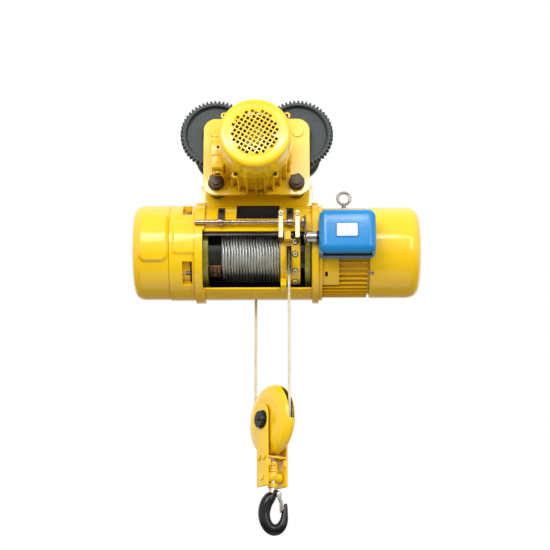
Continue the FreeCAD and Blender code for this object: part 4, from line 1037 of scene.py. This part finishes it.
caps = []
for side in (-1, 1):
    outward = facing(AXLE * side)
    caps += [
        lathe("disc", ring(31.8, 33.4, 24, 0, 1, 1), CENTRE, outward, BLACK, segments=72),
        hexagon("nut", 42, 9.5, CENTRE + AXLE * side * 33, outward, BLACK),
        lathe("nipple", [(42, 0), (42, 7, 1), (44, 5.5, 1), (46.5, 3.5, 1.2), (46.5, 0)], CENTRE,
              outward, BLACK, segments=32),
    ]
finished(joined("axle_caps", *caps), "hook_block", "black_paint", "axle_nuts")

carrier = [
    lathe("barrel", ring(-25.4, 25.4, 13.5, 0, 3.5, 3.5), TRUNNION, AXLE_AXES, YELLOW, segments=64),
    lathe("boss", ring(0, 13.4, 15, last=1.5), TRUNNION, ALONG_Z, YELLOW, segments=64),
]
finished(joined("hook_carrier", *carrier), "crosshead", "yellow_paint", "crosshead")

shank_nut = [
    lathe("nut_body", ring(-127.9, -107, 14, 10, 1.5, 2), CENTRE, ALONG_Z, YELLOW, segments=64),
    lathe("nut_washer", ring(-128, -124.5, 15.6, 10, 1, 1), CENTRE, ALONG_Z, YELLOW, segments=64),
    socket_screw("set_screw", CENTRE + Vector((5, -13, -116)), (5, -13, 0), 3.4, 2.4, YELLOW),
]
finished(joined("shank_nut", *shank_nut), "hook", "yellow_paint", "hook_nut")

# (x, z, radius) from the block's centre, from the shank round to the tip, and of the latch's lug.
BOW_LINE = [
    (0.5, -186.4, 6.5), (0, -187.6, 10.4), (-1.5, -192, 13), (-7, -200, 15.2), (-14.5, -212, 16),
    (-19, -227, 15.8), (-20.3, -243, 15.3), (-16.5, -260, 15), (-8, -273.5, 14.8),
    (4, -280, 14.8), (16, -277, 14), (25, -267.5, 12.3), (30, -254, 10.3), (31.3, -241, 8.6),
    (33, -226, 6.2), (34, -217, 4.4), (34.3, -214.2, 2.8), (34.4, -213.2, 0.8),
]
LUG_LINE = [(2, -184, 9), (9, -187, 8.8), (15, -189.5, 8.2), (19.5, -191.5, 6.5),
            (22.5, -193, 3.5), (23.5, -193.5, 0.8)]


def swept(name, line, material, flatten=0.0, fine=6, sides=40):
    """A bar of varying radius along a smooth line through (x, z, radius) stations."""
    points = [Vector(station) for station in line]
    smooth = []
    for index in range(len(points) - 1):
        p0, p1 = points[max(index - 1, 0)], points[index]
        p2, p3 = points[index + 1], points[min(index + 2, len(points) - 1)]
        for step in range(fine):
            t = step / fine
            smooth.append(0.5 * (2 * p1 + (p2 - p0) * t + (2 * p0 - 5 * p1 + 4 * p2 - p3) * t * t
                                 + (3 * p1 - p0 - 3 * p2 + p3) * t ** 3))
    smooth.append(points[-1])
    turns = [2 * math.pi * side / sides for side in range(sides)]
    rows = []
    for index, (x, z, radius) in enumerate(smooth):
        before, after = smooth[max(index - 1, 0)], smooth[min(index + 1, len(smooth) - 1)]
        heading = Vector((after.x - before.x, 0, after.y - before.y)).normalized()
        out = Vector((heading.z, 0, -heading.x))
        middle = Vector((CENTRE.x + x, CENTRE.y, CENTRE.z + z))
        rows.append([middle + out * radius * math.cos(turn) + Vector((0, 1, 0)) * radius
                     * math.sin(turn) * (1 - flatten * max(0.0, math.cos(turn)))
                     for turn in turns])
    return solid(name, grid_mesh(name, rows, caps=True), material, 60.0)


PIVOT = CENTRE + Vector((17, 0, -190))
hook = [
    swept("bow", BOW_LINE, HOOK_BLACK, flatten=0.12),
    swept("lug", LUG_LINE, HOOK_BLACK),
    lathe("neck", ring(-190, -173, 9, last=1), CENTRE, ALONG_Z, SILVER, segments=48),
    lathe("collar", ring(-174, -162.5, 11.6, 0, 1, 1), CENTRE, ALONG_Z, YELLOW, segments=48),
    lathe("shank", ring(-164.5, -109, 10, last=1), CENTRE, ALONG_Z, STEEL, segments=48),
    lathe("latch_pin", ring(-11.5, 11.5, 2.8, 0, 0.8, 0.8), PIVOT, ALONG_Y, SILVER, segments=32),
]
finished(joined("hook_bow", *hook), "hook", "black_paint", "hook")

LATCH = Matrix.Translation(PIVOT) @ Matrix.Rotation(math.radians(-2), 4, "Y")
cheek = [(0.4, -45), (7, -45), (11, -40), (10.5, -26), (6, -12), (6.2, -3), (4.5, 3.5), (0, 6),
         (-4.5, 3.5), (-6, -2), (-3, -12), (0.4, -22)]
latch = [prism("leaf", [(0, -47), (1.8, -47), (1.8, -10), (0, -10)], -10.5, 10.5, ZINC,
               bevel=0.5, matrix=LATCH)]
latch += [prism("cheek", cheek, *ends, EYE_STEEL, bevel=0.4, matrix=LATCH)
          for ends in ((-10.5, -9), (9, 10.5))]
finished(joined("safety_latch", *latch), "latch", "zinc_plate", "hook_latch")

note_size()
